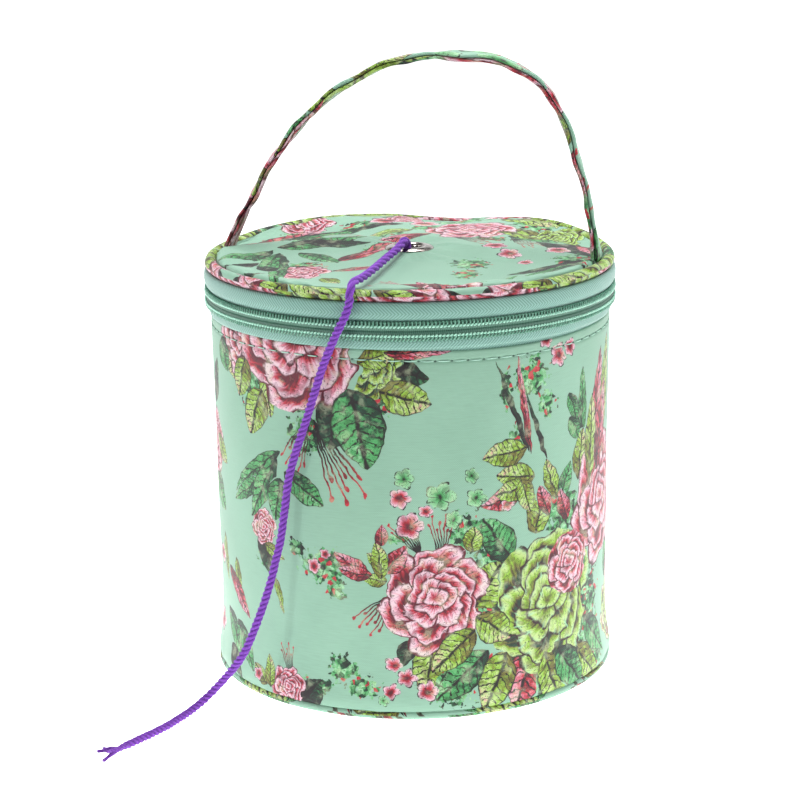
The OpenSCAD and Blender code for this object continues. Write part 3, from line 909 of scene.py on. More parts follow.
def frames(line, closed=False):
    """Two directions across a line at each of its points, turning as little as they can."""
    ahead = np.roll(line, -1, 0) - np.roll(line, 1, 0) if closed else np.gradient(line, axis=0)
    ahead /= np.linalg.norm(ahead, axis=1)[:, None]
    side = np.cross(ahead[0], (0.3, 0.2, 1.0) if abs(ahead[0][2]) < 0.9 else (1.0, 0, 0))
    sides = []
    for direction in ahead:
        side = side - direction * (side @ direction)
        side = side / np.linalg.norm(side)
        sides.append(side)
    sides = np.array(sides)
    return sides, np.cross(ahead, sides)


def tube_rings(line, radius, sides, closed=False):
    """Rings of a tube along a line. radius is one number, one per point, or one per point and side."""
    u, v = frames(line, closed)
    angle = whole_round(sides)[:, None]
    r = np.asarray(radius, float)
    r = (r[:, None] if r.ndim == 1 else r) * np.ones((len(line), sides))
    return line[:, None] + r[..., None] * (np.cos(angle) * u[:, None] + np.sin(angle) * v[:, None])


def many_skins(name, ring_sets, finish, closed=False, spacing=1.0):
    """One object from several skins of the same kind, such as stitches or windings."""
    vertices, faces, places, first = [], [], [], 0
    for rings in ring_sets:
        rows, cols = rings.shape[:2]
        arc = np.arange(rows + 1)[:, None] * spacing + np.zeros(cols + 1)
        round_it = np.zeros((rows + 1, 1)) + np.linspace(0, 12, cols + 1)
        part = skin_parts(rings, closed, np.stack([arc, round_it], -1), first)
        vertices.append(part[0])
        faces += part[1]
        places += part[2]
        first += rows * cols
    places = np.column_stack([np.array(places), np.zeros(len(places))])
    return outwards(keep(name, np.vstack(vertices), faces, finish, places))


def stitch_row(name, line, normals, pitch, length, thick):
    """Separate stitches along an even line, each rising out of the cloth and going back into it."""
    sink = 0.25
    arc = arc_along(line)
    count = int(arc[-1] // pitch)
    share = np.linspace(0, 1, 7)
    hump = np.sin(math.pi * share) ** 0.5
    lift = thick * 0.55 * hump - sink * (1 - hump)
    girth = thick / 2 * (0.35 + 0.65 * hump)
    ring_sets = []
    for n in range(count):
        s = n * pitch + (pitch - length) / 2 + share * length
        centre = np.stack([np.interp(s, arc, line[:, k]) for k in range(3)], 1)
        normal = np.stack([np.interp(s, arc, normals[:, k]) for k in range(3)], 1)
        ring_sets.append(tube_rings(centre + normal * lift[:, None], girth, 6))
    return many_skins(name, ring_sets, "thread")


def ride(made, body, slot_name, *nodes):
    """Attaches a piece to its body and hides the CAD nodes that it stands for; slot_name is not used."""
    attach(made, body)
    if nodes:
        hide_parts(*nodes)
    return made


def span(made, nodes):
    """Hides the CAD nodes of a piece that reaches from one body to another and bakes its place into its mesh;
    it is given no body.
    """
    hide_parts(*nodes)
    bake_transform(made)


# ---------------------------------------------------------------- yarn

INNER_ROUTE = [
    (0, -2.2, 103), (-1, -3.5, 112), (-1.8, -4.5, 122), (-1.8, -4.5, 132),
    (-1.2, -3.8, 142), (-0.4, -3, 152), (0, -2.8, 160), (0, -2.8, 166),
]
OUTER_ROUTE = [
    (0, -2.8, 166), (0, -2.8, 169), (0, -3, 171.6), (0, -4.3, 173.9), (0, -7.5, 175),
    (0, -12, 174.3), (0, -20, 173.3), (0.2, -32, 172.9), (0.6, -46, 172.4), (0.9, -60, 172),
    (1, -71, 172), (1, -78, 172.4), (1, -82, 171.6), (1, -84.6, 169.2), (0.9, -85.5, 165.5),
    (-0.6, -86, 160.7), (-2.9, -86.2, 156), (-5.5, -85.8, 151), (-8.2, -85.1, 145.3),
    (-11, -84.4, 138.5), (-13.3, -83.9, 132), (-17.4, -82.9, 120.3), (-20.2, -82.3, 112.6),
    (-23, -81.8, 105), (-25.9, -81.4, 95), (-27.8, -81.4, 83.3), (-29.6, -81.8, 71.2),
    (-31.7, -82.4, 62.4), (-33.7, -83.2, 54), (-36.5, -84.4, 44.7), (-39.3, -85.8, 36.6),
    (-41.6, -86.7, 30.6), (-44.2, -87.1, 25), (-48, -86.9, 19.4), (-52.2, -86.5, 14.3),
    (-56, -86.6, 9.9), (-59.4, -88.2, 6.2), (-62.2, -92, 3.6), (-64.2, -97.5, 2.4),
    (-65.8, -104, 2.1), (-67.4, -111.5, 2.1), (-69.5, -118, 2.1), (-71.9, -124.5, 2.1),
    (-74.4, -131, 2.1), (-77.2, -138, 2.1), (-80.5, -146, 2.1),
]


# Plies of the frayed end: lean to the side, rise of the tip, share of the whole length
FRAYS = [(-0.9, 1.6, 0.9), (-0.4, 3.2, 0.75), (0.35, -1.3, 1.0), (0.7, 2.4, 0.95), (0.9, 0.2, 0.7)]


def plied(name, route, end_taper=0.0, slack=0.0, loose_end=0.0):
    """Three-ply yarn along a route: a tube whose section has three lobes that twist as they go.
    The twist is drawn out over the slack first part, which lies flat on the lid. It stops where the
    loose end of the route begins."""
    line, arc = spline(route, 0.55)
    plied_part = arc <= arc[-1] - loose_end
    line, arc = line[plied_part], arc[plied_part]
    wound = np.where(arc < slack, arc * 0.4, arc - slack * 0.6)

    sides = 18
    angle, row, turned = whole_round(sides), arc[:, None], wound[:, None]
    lobe = np.abs(np.cos(1.5 * angle - math.pi * 3 * turned / PLY_LEAD))
    fluff = 1 + 0.03 * np.sin(7 * angle + row * 2.3) + 0.03 * np.sin(row * 1.1)
    taper = 1 - end_taper * np.clip((row - arc[-1] + 6) / 6, 0, 1)
    rings = tube_rings(line, YARN_D / 2 * (0.54 + 0.28 * lobe) * fluff * taper, sides)
    around = np.linspace(0, YARN_GIRTH, sides + 1)
    cloth = np.stack([turned + 0 * around, 0 * row + around], -1)
    return skin(name, rings, "yarn", cloth=cloth), line, arc[-1]


def frayed_plies(line):
    """The yarn's loose end: plies that come apart, each with its lean to the side, its lift and its reach."""
    ahead = (line[-1] - line[-8]) / np.linalg.norm(line[-1] - line[-8])
    across = np.cross((0, 0, 1), ahead)
    plies = []
    for turn, lift, reach in FRAYS:
        s = np.linspace(-3, reach * FRAY_LENGTH, 16)
        share = np.clip(s / FRAY_LENGTH, 0, 1)
        curl = 0.35 * np.sin(s * 1.1 + turn * 5) * share
        ply = line[-1] + ahead * s[:, None] + across * (turn * (0.7 + 2.4 * share**1.3) + curl)[:, None]
        ply[:, 2] = 2.1 + 0.4 * turn * (1 - share) + lift * share**1.2 + curl
        girth = 0.95 * (1 - 0.35 * share)
        uneven = 1 + 0.12 * np.sin(2 * whole_round(7) + np.arange(len(s))[:, None])
        plies.append(tube_rings(ply, girth[:, None] * uneven, 7))
    return plies


def make_yarn():
    outer, line, length = plied("yarn_outer_strand", OUTER_ROUTE, 0.2, 92, FRAY_LENGTH)
    frayed = ride(many_skins("yarn_frayed_end", frayed_plies(line), "yarn"), "bag_body", "yarn")
    span(outer, ["yarn_strand"])
    inner, line, length = plied("yarn_inner_run", INNER_ROUTE)
    span(inner, ["yarn_inner_strand"])


WRAP_R = 1.75
BANDS = 9


def ball_wraps():
    """Windings in bands of nine, each band in its own direction and a little further out."""
    rng = np.random.default_rng(7)
    angle = whole_round(72)
    ring_sets = []
    for band in range(BANDS):
        axis = rng.normal(size=3)
        axis /= np.linalg.norm(axis)
        u = np.cross(axis, (0.1, 0.2, 1.0))
        u /= np.linalg.norm(u)
        v = np.cross(axis, u)
        depth = BALL_R - WRAP_R - 0.3 * (BANDS - 1 - band)
        for k in range(-4, 5):
            offset = k * 2 * WRAP_R * 0.98
            ring = math.sqrt(depth**2 - offset**2)
            tilt = 0.5 * np.sin(2 * angle + band)
            line = (np.cos(angle)[:, None] * u + np.sin(angle)[:, None] * v) * ring
            line += axis * (offset + tilt)[:, None]
            line *= (depth / np.linalg.norm(line, axis=1))[:, None]
            ring_sets.append(tube_rings(line + (0, 0, BALL_Z), WRAP_R, 7, closed=True))
    return ring_sets


def make_ball():
    """A ball of windings over a solid middle."""
    wraps = many_skins("yarn_ball_wraps", ball_wraps(), "yarn", closed=True, spacing=4.0)
    ride(wraps, "yarn_ball", "yarn", "yarn_ball")
    heights = np.linspace(-0.995, 0.995, 24)
    core_r = BALL_R - 2.6
    profile = [(core_r * math.sqrt(1 - h * h), BALL_Z + core_r * h) for h in heights]
    theta = whole_round(48)
    rings = np.array([round_points(theta, r, z + 0 * theta) for r, z in profile])
    ride(skin("yarn_ball_middle", rings, "yarn"), "yarn_ball", "yarn")


make_yarn()


# ---------------------------------------------------------------- wall and base

WALL_PROFILE = [
    (3.4, 81.2), (5, 81.5), (7.5, 81.5), (12, 80.7), (22, 79.8), (34, 79.6), (60, 79.9),
    (105, 80.1), (120, 80.3), (135, 80.5), (142, 80.5), (147, 80.4),
]
FABRIC_T = 0.8
STITCH_Z = 142.9
STITCH_PITCH = 6.3
NEEDLE_HOLE_R = 0.42
wall_wave = smooth_random(3, TURN, [2, 3, 5, 7])
wall_pucker = smooth_random(5, TURN, [19, 31, 43, 58])

# How far the folded edge rides above its even height: angle in degrees, from the front to the right, and rise
EDGE_RISE = [
    (0, 0.3), (20, -0.6), (38, -1.3), (58, -1.2), (80, -0.5), (110, 0), (250, 0), (320, 0.2),
    (360, 0.3),
]


def around_rise(table, theta):
    """A rise that is given at a few angles, softened between them."""
    angles, rises = np.array(table).T
    degrees = np.degrees(theta) % 360
    return sum(np.interp((degrees + d) % 360, angles, rises) for d in (-8, -4, 0, 4, 8)) / 5


def wall_lift(theta, z):
    return around_rise(EDGE_RISE, theta) * np.clip((z - 105) / 42, 0, 1) ** 2


def wall_radius(theta, z):
    """Outer radius of the wall, with soft waves, puckers at the foot and a groove along the stitches."""
    heights, radii = np.array(WALL_PROFILE).T
    r = np.interp(z, heights, radii)
    r = r + 0.35 * wall_wave(theta + z / 90) * np.sin(math.pi * np.clip(z / WALL_TOP, 0, 1))
    r = r + 0.3 * wall_pucker(theta) * np.exp(-((z - 6) / 7) ** 2)
    r = r - 0.4 * np.exp(-((z - STITCH_Z) / 0.7) ** 2)
    r = r + 0.12 * wall_pucker(theta) * np.exp(-((z - 145) / 3) ** 2)
    behind = np.abs((theta % TURN) - math.pi) * WALL_R
    return r - 0.5 * np.exp(-(behind / 0.9) ** 2) + 0.25 * np.exp(-((behind - 2.2) / 1.4) ** 2)


def make_wall():
    rise = np.concatenate([[3.4, 4.2, 5, 6, 7.2, 8.6, 10.5, 13], np.linspace(17, 138, 34),
                           np.linspace(139.5, 146.2, 17)])
    outside = [(0.0, z) for z in rise]
    fold = [(0.25, 146.75), (0.62, 146.95), (1.05, 146.8), (1.4, 146.2)]
    hem = [(1.45, z) for z in (145, 143.5, 141, 138)]
    inside = [(FABRIC_T + 0.1, z) for z in (130, 100, 60, 30, 10, 3.6)]

    def shape(theta, inset, z):
        return wall_radius(theta, z) - inset, z + wall_lift(theta, z)

    wall = round_skin("wall_cloth", outside + fold + hem + inside, whole_round(360), "wall", True, shape)
    ride(wall, "bag_body", "printed_fabric", "side_panel", "side_padding")


def stitch_height(theta):
    """Height of the stitches, which follow the folded edge and wander a little."""
    return STITCH_Z + 0.12 * wall_pucker(theta) + wall_lift(theta, STITCH_Z)


def make_topstitching():
    """Stitches through the folded edge of the wall, and a dent where each one goes in, painted dark as its
    shade.
    """
    theta = np.linspace(0, TURN, 1200)
    line = round_points(theta, wall_radius(theta, STITCH_Z) + 0.12, stitch_height(theta))
    normals = round_points(theta, np.ones_like(theta), np.zeros_like(theta))
    ride(stitch_row("wall_topstitch", line, normals, STITCH_PITCH, 4.9, 0.5), "bag_body", "zipper_tape")
    girth = NEEDLE_HOLE_R * np.sin(math.pi * (np.arange(5) + 0.6) / 5.2)
    dents = []
    for angle in STITCH_PITCH * np.arange(int(TURN * WALL_R / STITCH_PITCH)) / WALL_R:
        spot = angle + np.linspace(-0.5, 0.5, 5) / WALL_R
        across = round_points(spot, wall_radius(spot, STITCH_Z) - 0.02, stitch_height(spot))
        dents.append(tube_rings(across, girth, 6))
    ride(many_skins("wall_needle_holes", dents, "hole"), "bag_body", "zipper_tape")


def piping(name, ring_r, z, r, folds, steps, sides, shift, offset, body, nodes, rise=None):
    """Cloth wrapped round a cord: a ring with slanting folds where the strip is drawn round the curve."""
    theta = whole_round(steps)
    phi = np.arange(sides) * TURN / sides
    swell = smooth_random(11 + sides, TURN, [5, 9, 14, 23])(theta)[:, None]
    crease = np.abs(np.sin(folds * theta[:, None] / 2 + phi + 2.5 * swell)) ** 0.6
    section_r = r * (0.93 + 0.09 * (crease - 0.5) * (0.5 + 0.5 * swell) + 0.02 * swell)
    lift = rise(theta) if rise else 0 * theta
    radius = ring_r + section_r * np.cos(phi)
    height = z + lift[:, None] + section_r * np.sin(phi)
    rings = round_points(theta[:, None] + 0 * phi, radius, height)
    turns = np.linspace(0, TURN, steps + 1)[:, None]
    girth = np.linspace(0, TURN * r, sides + 1)
    cloth = np.stack([there_and_back(turns * PRINT_R + girth * 0.5 + shift), girth + offset + 0 * turns], -1)
    made = skin(name, rings, "strip", True, cloth)
    return ride(made, body, "printed_fabric", *nodes)


def seam_tape(name, section, steps, node, body, angles=None, shape=None):
    """A seam tape carried round the bag."""
    closed = angles is None
    made = round_skin(name, section, whole_round(steps) if closed else angles, "binding", closed, shape)
    return ride(made, body, "lining", node)


def finished(name, finish):
    """Gives a CAD node that stays in view its material."""
    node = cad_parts[name]
    node.data.materials.clear()
    node.data.materials.append(M[finish])
    return node


BASE_STEPS = 144
base_wave = smooth_random(21, TURN, [3, 4, 6])


def make_base_panel():
    """The printed cloth under the base, hardly uneven."""
    theta = whole_round(BASE_STEPS)
    section = [(0.4, 0.3), (20, 0.25), (40, 0.2), (60, 0.15), (74, 0.15), (77.2, 0.3), (78.0, 0.7),
               (77.2, 0.78), (60, 0.78), (20, 0.78), (0.4, 0.78)]
    rings = np.array([round_points(theta, r, z + 0.001 * base_wave(theta) * min(r, 60)) for r, z in section])
    panel = skin("base_cloth", rings, "strip", cloth=laid_flat(rings) + (20, 60))
    ride(panel, "bag_body", "printed_fabric", "base_panel")


def make_base_pad():
    """The lined pad that the ball of yarn lies on."""
    theta = whole_round(BASE_STEPS)
    top = [(0.4, 5.25), (15, 5.3), (30, 5.2), (45, 5.3), (60, 5.2), (70, 5.0), (75, 4.7), (76.4, 4.4),
           (75.8, 3.0), (75.5, 2.45), (60, 2.4), (30, 2.4), (0.4, 2.4)]
    rings = np.array([round_points(theta, r, z + 0.003 * base_wave(theta + r / 30) * min(r, 40))
                      for r, z in top])
    pad = skin("base_pad", rings, "lining", cloth=laid_flat(rings))
    ride(pad, "bag_body", "lining", "base_padding", "base_lining")


def make_base():
    piping("base_piping_cloth", BASE_PIPING_RING_R, BASE_PIPING_R, BASE_PIPING_R, 150, 720, 14, 40, 103,
           "bag_body", ("base_piping", "base_piping_cord"))
    make_base_panel()
    make_base_pad()
    seam = [(76.1, 1.0), (77.9, 1.0), (78.0, 3.4), (76.2, 3.4)]
    seam_tape("base_seam_tape", seam, 180, "base_binding", "bag_body")
    finished("base_board", "board")


def make_inside():
    wave = smooth_random(31, TURN, [4, 7, 11, 17])
    top = WALL_TOP - 1.2
    heights = [4.9, 7, 12, 25, 45, 70, 95, 120, 135, 142, top]
    section = [(77.35, z) for z in reversed(heights)] + [(76.85, z) for z in heights]

    def sag(theta, r, z):
        return r - 0.9 * (0.5 + 0.5 * wave(theta + z / 130)) * np.sin(math.pi * np.clip(z / 140, 0, 1)), z

    wall = round_skin("wall_lining", section, whole_round(240), "lining", True, sag)
    ride(wall, "bag_body", "lining", "side_lining")
    rim = [(76.5, 143.4), (76.45, 145.8), (76.9, 146.8), (77.9, 147.15), (78.7, 146.9), (78.85, 146.0),
           (78.4, 145.9), (77.4, 146.0), (77.0, 145.6), (76.95, 143.4)]
    seam_tape("rim_tape", rim, 360, "rim_binding", "bag_body")
    seam = math.radians(4.5)
    strip = [(75.9, 6.0), (75.9, 40), (75.9, 80), (75.9, 120), (76.1, 145.6), (76.5, 145.6), (76.4, 120),
             (76.4, 80), (76.4, 40), (76.4, 6.0)]
    angles = np.linspace(math.pi - seam, math.pi + seam, 14)

    def hump(theta, r, z):
        edge = np.clip(1 - np.abs(theta - math.pi) / seam, 0, 1)
        return sag(theta, r, z)[0] - 0.35 * np.sqrt(edge), z

    seam_tape("back_seam_tape", strip, 0, "side_seam_binding", "bag_body", angles, hump)


# ---------------------------------------------------------------- lid

# Where the rim of the lid stands above its seam: angle in degrees from the front towards the right, rise.
RIM_RISE = [
    (0, 0), (40, 0), (90, 0), (118, 0), (136, 2.0), (152, 3.0), (172, 0.6), (184, -0.8), (200, 1.8),
    (222, 2.6), (244, 1.4), (262, 0), (320, 0), (360, 0),
]


def rim_rise(theta):
    return around_rise(RIM_RISE, theta)


def lid_top(theta, r):
    """Top of the lid cloth before it is simulated: a low crown that follows the rim."""
    share = np.clip(r / LID_R, 0, 1)
    return LID_EDGE_Z + 2.2 * (1 - share**2) + rim_rise(theta) * share**3


LID_RADII = np.array([6.1, 7.5, 9.5, 12, 15, 18.5, 22, 26, 30, 34, 38, 42, 46, 50, 54, 58, 62, 65.5, 68.5, 71,
                      73.2, 75, 76.4, 77.5])
LID_STEPS = 120
# How far the simulation may move the lid's cloth, and the lid's thickness down to its lining
LID_SWELL = 1.7
LID_PAD_T = 3.2


def simulated_lid(start):
    """The rings of the lid cloth after it is blown up against its foam, held at the rim and the eyelet."""
    rows, cols = start.shape[:2]
    faces = [[i * cols + j, i * cols + (j + 1) % cols, (i + 1) * cols + (j + 1) % cols, (i + 1) * cols + j]
             for i in range(rows - 1) for j in range(cols)]
    cloth = keep("lid_simulation", start.reshape(-1, 3), faces, "lid")
    held = cloth.vertex_groups.new(name="held")
    fixed = [i * cols + j for i in (0, 1, 2, rows - 1) for j in range(cols)]
    held.add(fixed, 1.0, "REPLACE")
    modifier = cloth.modifiers.new("cloth", "CLOTH")
    settings = modifier.settings
    settings.quality = 6
    settings.mass = 0.15
    settings.tension_stiffness = 40
    settings.compression_stiffness = 40
    settings.bending_stiffness = 2.0
    settings.shrink_min = -0.035
    settings.shrink_max = -0.035
    settings.vertex_group_mass = "held"
    settings.use_pressure = True
    settings.uniform_pressure_force = 1.6
    settings.effector_weights.gravity = 0
    modifier.collision_settings.use_collision = False
    for number in range(1, 21):
        bpy.context.scene.frame_set(number)
    final = cloth.evaluated_get(bpy.context.evaluated_depsgraph_get())
    after = np.array([v.co for v in final.data.vertices]).reshape(rows, cols, 3) / MM
    bpy.data.objects.remove(cloth)
    bpy.context.scene.frame_set(1)
    return after


def lid_crown(theta):
    """The rings of the lid's top cloth, from the eyelet out to the rim."""
    start = np.array([round_points(theta, r, lid_top(theta, r)) for r in LID_RADII])
    moved = simulated_lid(start) - start
    reach = np.linalg.norm(moved, axis=2, keepdims=True)
    return start + moved * np.minimum(1, LID_SWELL / np.maximum(reach, 1e-6))


def make_lid():
    theta = whole_round(LID_STEPS)
    top = lid_crown(theta)
    fold = np.array([round_points(theta, r, LID_EDGE_Z + rim_rise(theta) + z)
                     for r, z in ((77.9, -0.5), (77.7, -1.1), (77.0, -1.35))])
    under = top[::-1][1:] - (0, 0, LID_PAD_T)
    rings = np.concatenate([top, fold, under])
    lid = ride(skin("lid_cloth", rings, "lid", True), "lid", "printed_fabric", "lid_panel", "lid_padding")
    bottom = np.concatenate([top - (0, 0, LID_PAD_T + 0.15), (top - (0, 0, LID_PAD_T + 0.7))[::-1]])
    inner = skin("lid_lining_cloth", bottom, "lining", True, laid_flat(bottom, True))
    ride(inner, "lid", "lining", "lid_lining")
    piping("lid_piping_cloth", PIPING_RING_R, PIPING_Z, PIPING_R, 96, 960, 18, 155, 30,
           "lid", ("lid_piping", "lid_piping_cord"), rim_rise)
    seam = [(77.6, 161.7), (79.2, 161.7), (79.3, 164.7), (77.7, 164.8)]
    seam_tape("lid_seam_tape", seam, 300, "lid_seam_binding", "lid",
              shape=lambda theta, r, z: (r, z + 0.5 * rim_rise(theta)))


def make_eyelet():
    top = high("eyelet")[2]
    base = top - 1.2
    outer = high("eyelet")[0]
    hole = 5.2
    under = low("eyelet")[2]
    barrel_in = [(hole, under), (hole, under + 2), (hole, base - 0.6)]
    inner_curl = [(0.1, 0.1), (0.35, 0.65), (0.85, 1.05), (1.5, 1.2)]
    outer_curl = [(2.0, 1.1), (1.0, 0.8), (0.35, 0.4), (0, 0.05), (0.1, -0.15), (0.8, -0.1)]
    barrel_out = [(0.9, base - 0.1), (0.55, base - 0.6), (0.55, under + 2), (0.55, under)]
    section = (barrel_in + [(hole + r, base + z) for r, z in inner_curl]
               + [(outer - r, base + z) for r, z in outer_curl] + [(hole + r, z) for r, z in barrel_out])
    ring = round_skin("eyelet_ring", section, whole_round(96), "nickel", True)
    ride(ring, "lid", "nickel", "eyelet")


# ---------------------------------------------------------------- zipper and hinge

ZIP_FROM = -(math.pi - HINGE_HALF)
ZIP_TO = math.pi - HINGE_HALF
ZIP_ANGLES = np.linspace(ZIP_FROM, ZIP_TO, 420)
END_STEP = math.radians(2.5)
# Heights, along each tape's section, where its ribs meet
LOWER_CHEVRON_Z = 150.6
UPPER_CHEVRON_Z = 161.6
COIL_PITCH = 1.45
LOOP_R = 82.3
STITCH_R = 82.6


def ramp_in(theta, start, width):
    """1 in the middle of the zipper and 0 beyond start at either end, with a soft step."""
    share = np.clip((start - np.abs(theta)) / width, 0, 1)
    return share * share * (3 - 2 * share)


def make_lower_tape():
    """The tape on the wall. It stands up higher at both ends, past the place where the slider parks."""
    wave = smooth_random(41, TURN, [5, 8, 13])

    def lower(angle, r, z):
        tab = 1 - ramp_in(angle, ZIP_TO - PARK_HALF + 0.02, END_STEP)
        return r + 0.12 * wave(angle), z + 8.5 * tab * np.clip((z - 150) / 1.2, 0, 1)

    section = [(79.62, 139), (79.62, 146.2), (80.2, 147.15), (80.9, 147.3), (81.2, 148.2), (81.25, 150),
               (81.2, 151.2), (80.7, 151.25), (80.65, 150), (80.6, 148.4), (79.9, 147.8), (79.2, 147.0),
               (79.05, 139)]
    tape = round_skin("lower_tape", section, ZIP_ANGLES, "tape", False, lower,
                      lambda across, up: (across, up - LOWER_CHEVRON_Z))
    ride(tape, "bag_body", "zipper_tape", "zipper_tape_lower")


def make_upper_tape():
    """The tape on the lid. It follows the rim, and its lower edge rises a little at both ends."""
    outside = [(81.45, UPPER_TAPE_Z - 1.0), (81.55, UPPER_TAPE_Z - 0.4), (82.2, UPPER_TAPE_Z), (82.75, 160),
               (82.95, 161.3), (82.95, 162.6), (82.75, 163.9), (82.35, 164.7), (81.7, 165.2), (80.9, 165.2)]
    inside = [(r - 0.7, z) for r, z in reversed(outside[:-2])]

    def upper(angle, r, z):
        share = np.clip((z - UPPER_TAPE_Z + 1) / (LID_SEAM_Z - UPPER_TAPE_Z + 1), 0, 1)
        open_end = 1 - ramp_in(angle, ZIP_TO - PARK_HALF, END_STEP)
        lifted = z + open_end * 2.0 * (1 - share)
        behind = np.clip((np.abs(angle) - 2.1) / 0.5, 0, 1)
        return r - 1.2 * behind * np.exp(-((z - 161.5) / 4) ** 2), lifted + rim_rise(angle) * share

    tape = round_skin("upper_tape", outside + inside, ZIP_ANGLES, "tape", False, upper,
                      lambda across, up: (across, up - UPPER_CHEVRON_Z))
    ride(tape, "lid", "zipper_tape", "zipper_tape_upper")


def coil(name, side, theta_end, body, node):
    """Half of the chain: a filament wound in loops, its row of slanting stitches and the floor between,
    painted dark as the shade in the groove.
    side is 1 above the gap and -1 below it."""
    arc = np.arange(-theta_end * LOOP_R, theta_end * LOOP_R, COIL_PITCH / 12)
    wind = TURN * arc / COIL_PITCH
    line = round_points((arc + 0.3 * side * np.cos(wind)) / LOOP_R, COIL_R - 1.2 + 0.45 * np.sin(wind),
                        CHAIN_Z + side * (2.8 + 0.8 * np.cos(wind)))
    ride(skin(name + "_loops", tube_rings(line, 0.3, 6), "coil"), body, "zipper_coil", node)
    share = np.linspace(-1, 1, 6)
    girth = 0.46 * np.sqrt(1 - 0.85 * share**2)
    beads = []
    for at in np.arange(-theta_end * STITCH_R + 1, theta_end * STITCH_R - 1, COIL_PITCH):
        line = round_points((at + 0.62 * share) / STITCH_R, COIL_R - 0.75 - 0.25 * share**2,
                            CHAIN_Z + side * 1.75 + 0.36 * share)
        beads.append(tube_rings(line, girth, 7))
    ride(many_skins(name + "_stitches", beads, "bead"), body, "zipper_coil")
    # The floor is painted dark as the shade in the groove.
    floor = [(81.4, 0.06), (82.1, 0.06), (82.25, 1.2), (82.1, 2.6), (81.8, 3.6), (81.4, 3.6)]
    theta = np.linspace(-theta_end, theta_end, 420)
    section = [(r, CHAIN_Z + side * z) for r, z in floor]
    ride(round_skin(name + "_floor", section, theta, "chain", False), body, "zipper_coil")


def make_zipper():
    make_lower_tape()
    make_upper_tape()
    coil("lower_coil", -1, ZIP_TO - 0.01, "bag_body", "zipper_coil_lower")
    coil("upper_coil", 1, ZIP_TO - PARK_HALF - 0.01, "lid", "zipper_coil_upper")
    for name in ("slider_body", "slider_bridge", "pull_tab", "eyelet_washer"):
        edge = finished(name, "nickel").modifiers.new("edges", "BEVEL")
        edge.width = 0.18 * MM
        edge.segments = 2
        edge.limit_method = "ANGLE"


HINGE_FOOT = 146.4
HINGE_HEAD = 165.2


def make_hinge():
    theta = np.linspace(math.pi - HINGE_HALF + 0.004, math.pi + HINGE_HALF - 0.004, 60)
    wave = smooth_random(51, TURN, [9, 15, 22])
    heights = np.linspace(HINGE_FOOT, HINGE_HEAD, 20)

    def shape(angle, r, z):
        share = np.clip((z - HINGE_FOOT) / (HINGE_HEAD - HINGE_FOOT), 0, 1)
        bulge = (0.9 + 0.25 * wave(angle)) * np.sin(math.pi * share)
        return r + bulge, z + rim_rise(angle) * share**2

    outer = [(80.55, z) for z in heights] + [(79.85, z) for z in reversed(heights)]
    cloth = round_skin("hinge_cloth", outer, theta, "strip", False, shape,
                       lambda across, up: (across, up - 10))
    span(cloth, ["hinge_panel"])
    heights = np.linspace(146.9, 161.8, 16)
    inner = [(79.3, z) for z in heights] + [(77.8, z) for z in reversed(heights)]
    cloth = round_skin("hinge_lining_cloth", inner, theta, "lining", False)
    span(cloth, ["hinge_lining"])


# ---------------------------------------------------------------- handle

HANDLE_LEFT = [(-76.9, 168.9), (-54.2, 219.5), (-25, 248.4), (18, 248.4)]
HANDLE_RIGHT = [(18, 248.4), (48, 248.4), (67, 243), (76.9, 168.9)]
# Section of the folded strip: across the width, and through the thickness. The open edge is at the front.
STRAP_SECTION = [
    (-3.1, 0.1), (-4.3, 0.14), (-5.0, 0.3), (-5.3, 0.75), (-5.0, 1.2), (-4.2, 1.42), (-3.4, 1.3),
    (-2.6, 1.2), (0, 1.22), (2.6, 1.25), (4.0, 1.3), (4.8, 1.0), (5.1, 0.4), (5.1, -0.3), (4.8, -0.95),
    (4.0, -1.2), (2.6, -1.2), (0, -1.2), (-2.6, -1.15), (-3.4, -1.2), (-4.2, -1.3), (-4.8, -1.05),
    (-5.0, -0.65), (-4.8, -0.3), (-4.2, -0.14), (-3.1, -0.08),
]


def cubic(points, t):
    a, b, c, d = (np.array(p, float) for p in points)
    return (1 - t) ** 3 * a + 3 * (1 - t) ** 2 * t * b + 3 * (1 - t) * t**2 * c + t**3 * d


def strap_line():
    """The middle of the strap from its left end to its right end, and the distance along it."""
    t = np.linspace(0, 1, 30)[:, None]
    arch = np.vstack([cubic(HANDLE_LEFT, t)[:-1], cubic(HANDLE_RIGHT, t)])
    return spline(np.stack([arch[:, 0], 0 * arch[:, 0], arch[:, 1]], 1), 1.1)


def strap_rings(line, across, through, twist, shift):
    """The strap's section at each point of its line, turned by twist and shifted through its thickness."""
    along = np.gradient(line, axis=0)
    along /= np.linalg.norm(along, axis=1)[:, None]
    width_way = np.array([0, 1.0, 0])
    thick_way = np.cross(width_way, along)
    cosine, sine = np.cos(twist)[:, None], np.sin(twist)[:, None]
    centre = line + thick_way * shift[:, None]
    return (centre[:, None] + (across * cosine - through * sine)[..., None] * width_way
            + (across * sine + through * cosine)[..., None] * thick_way[:, None])


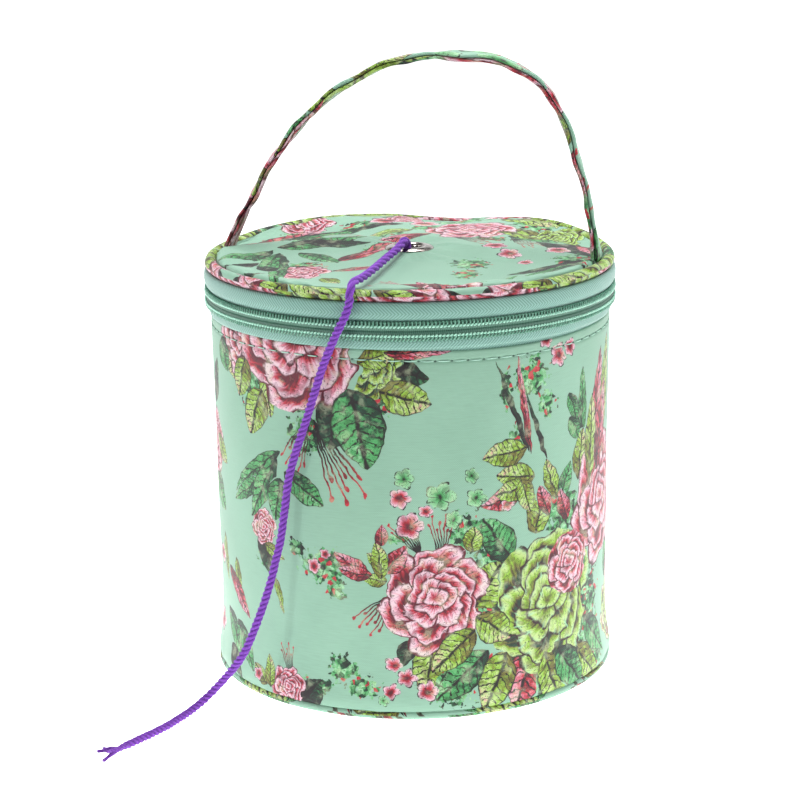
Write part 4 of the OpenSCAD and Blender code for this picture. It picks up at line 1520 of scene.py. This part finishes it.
def make_handle():
    """A folded strip that wanders, leans in its legs and is gathered where it enters the left seam."""
    line, arc = strap_line()
    wave = smooth_random(61, arc[-1], [4, 7, 11])
    swell = smooth_random(63, arc[-1], [9, 16, 27])
    free = np.clip(np.minimum(arc, arc[-1] - arc) / 18, 0, 1)
    right_leg = np.clip((arc / arc[-1] - 0.6) / 0.15, 0, 1)
    left_leg = np.clip((0.3 - arc / arc[-1]) / 0.1, 0, 1)
    twist = (0.12 * wave(arc) + 0.24 * right_leg - 0.22 * left_leg) * free
    gathered = 0.2 * np.clip(1 - arc / 16, 0, 1)
    section = np.array(STRAP_SECTION)
    across = section[:, 0] * (1 + 0.05 * swell(arc) - gathered)[:, None]
    through = section[:, 1] * (1.15 + 0.2 * swell(arc + 40)[:, None] * free[:, None])
    rings = strap_rings(line, across, through, twist, 0.5 * wave(arc + 30) * free)
    girth = girth_of(section)
    cloth = np.stack([128 - 0.62 * arc[:, None] + 0 * girth, 0 * arc[:, None] + girth * 1.3 + 58], -1)
    strap = skin("strap_cloth", rings, "strip", cloth=cloth)
    span(strap, ["handle_strap", "handle_core", "handle_end_left", "handle_end_right"])


# ---------------------------------------------------------------- studio

FLOOR_HALF = 4000
# Soft lights: place, width and height, power
LIGHTS = {
    "key_left": ((-1.45, -0.2, 0.45), (0.8, 0.9), 4.6),
    "key_right": ((1.45, -0.1, 0.55), (0.7, 0.9), 8.5),
    "top": ((0, 0.12, 0.95), (0.7, 0.7), 13.5),
    "front_left": ((-0.75, -1.05, 0.6), (0.16, 0.16), 4.6),
}


def area_light(name, at, size, power):
    """A soft light that shines on the middle of the bag."""
    data = bpy.data.lights.new(name, "AREA")
    data.shape = "RECTANGLE"
    data.size, data.size_y = size
    data.energy = power
    lamp = bpy.data.objects.new(name, data)
    bpy.context.scene.collection.objects.link(lamp)
    lamp.location = at
    lamp.rotation_euler = (Vector((0, 0, 0.1)) - Vector(at)).to_track_quat("-Z", "Y").to_euler()


def make_floor():
    corners = [(-1, -1), (1, -1), (1, 1), (-1, 1)]
    points = [(FLOOR_HALF * x, FLOOR_HALF * y, 0) for x, y in corners]
    keep("studio_floor", points, [[0, 1, 2, 3]], "glowing_paper")


def make_studio():
    """A glowing pale floor and a bright soft sky, with a darker room in front for the metal to reflect."""
    make_floor()
    world = bpy.data.worlds.new("studio")
    bpy.context.scene.world = world
    world.use_nodes = True
    net = Net(world.node_tree)
    _, back, up = net.split(net.node("ShaderNodeTexCoord").outputs["Generated"])
    sky = net.ramp(net.size(up), (0.3, (1.02, 1.02, 1.02, 1)), (0.6, (0.2, 0.2, 0.2, 1)), smooth=True)
    dark_room = net.times(net.step(back, -0.12, -0.55), 0.9)
    sky = net.mix(dark_room, sky, (0.06, 0.06, 0.06, 1))
    net.feed(world.node_tree.nodes["Background"].inputs[0], sky)
    for name, (at, size, power) in LIGHTS.items():
        area_light(name, at, size, power)
    bpy.context.scene.view_settings.view_transform = "Standard"


make_ball()
make_wall()
make_topstitching()
make_base()
make_inside()
make_lid()
make_eyelet()
make_zipper()
make_hinge()
make_handle()
make_studio()
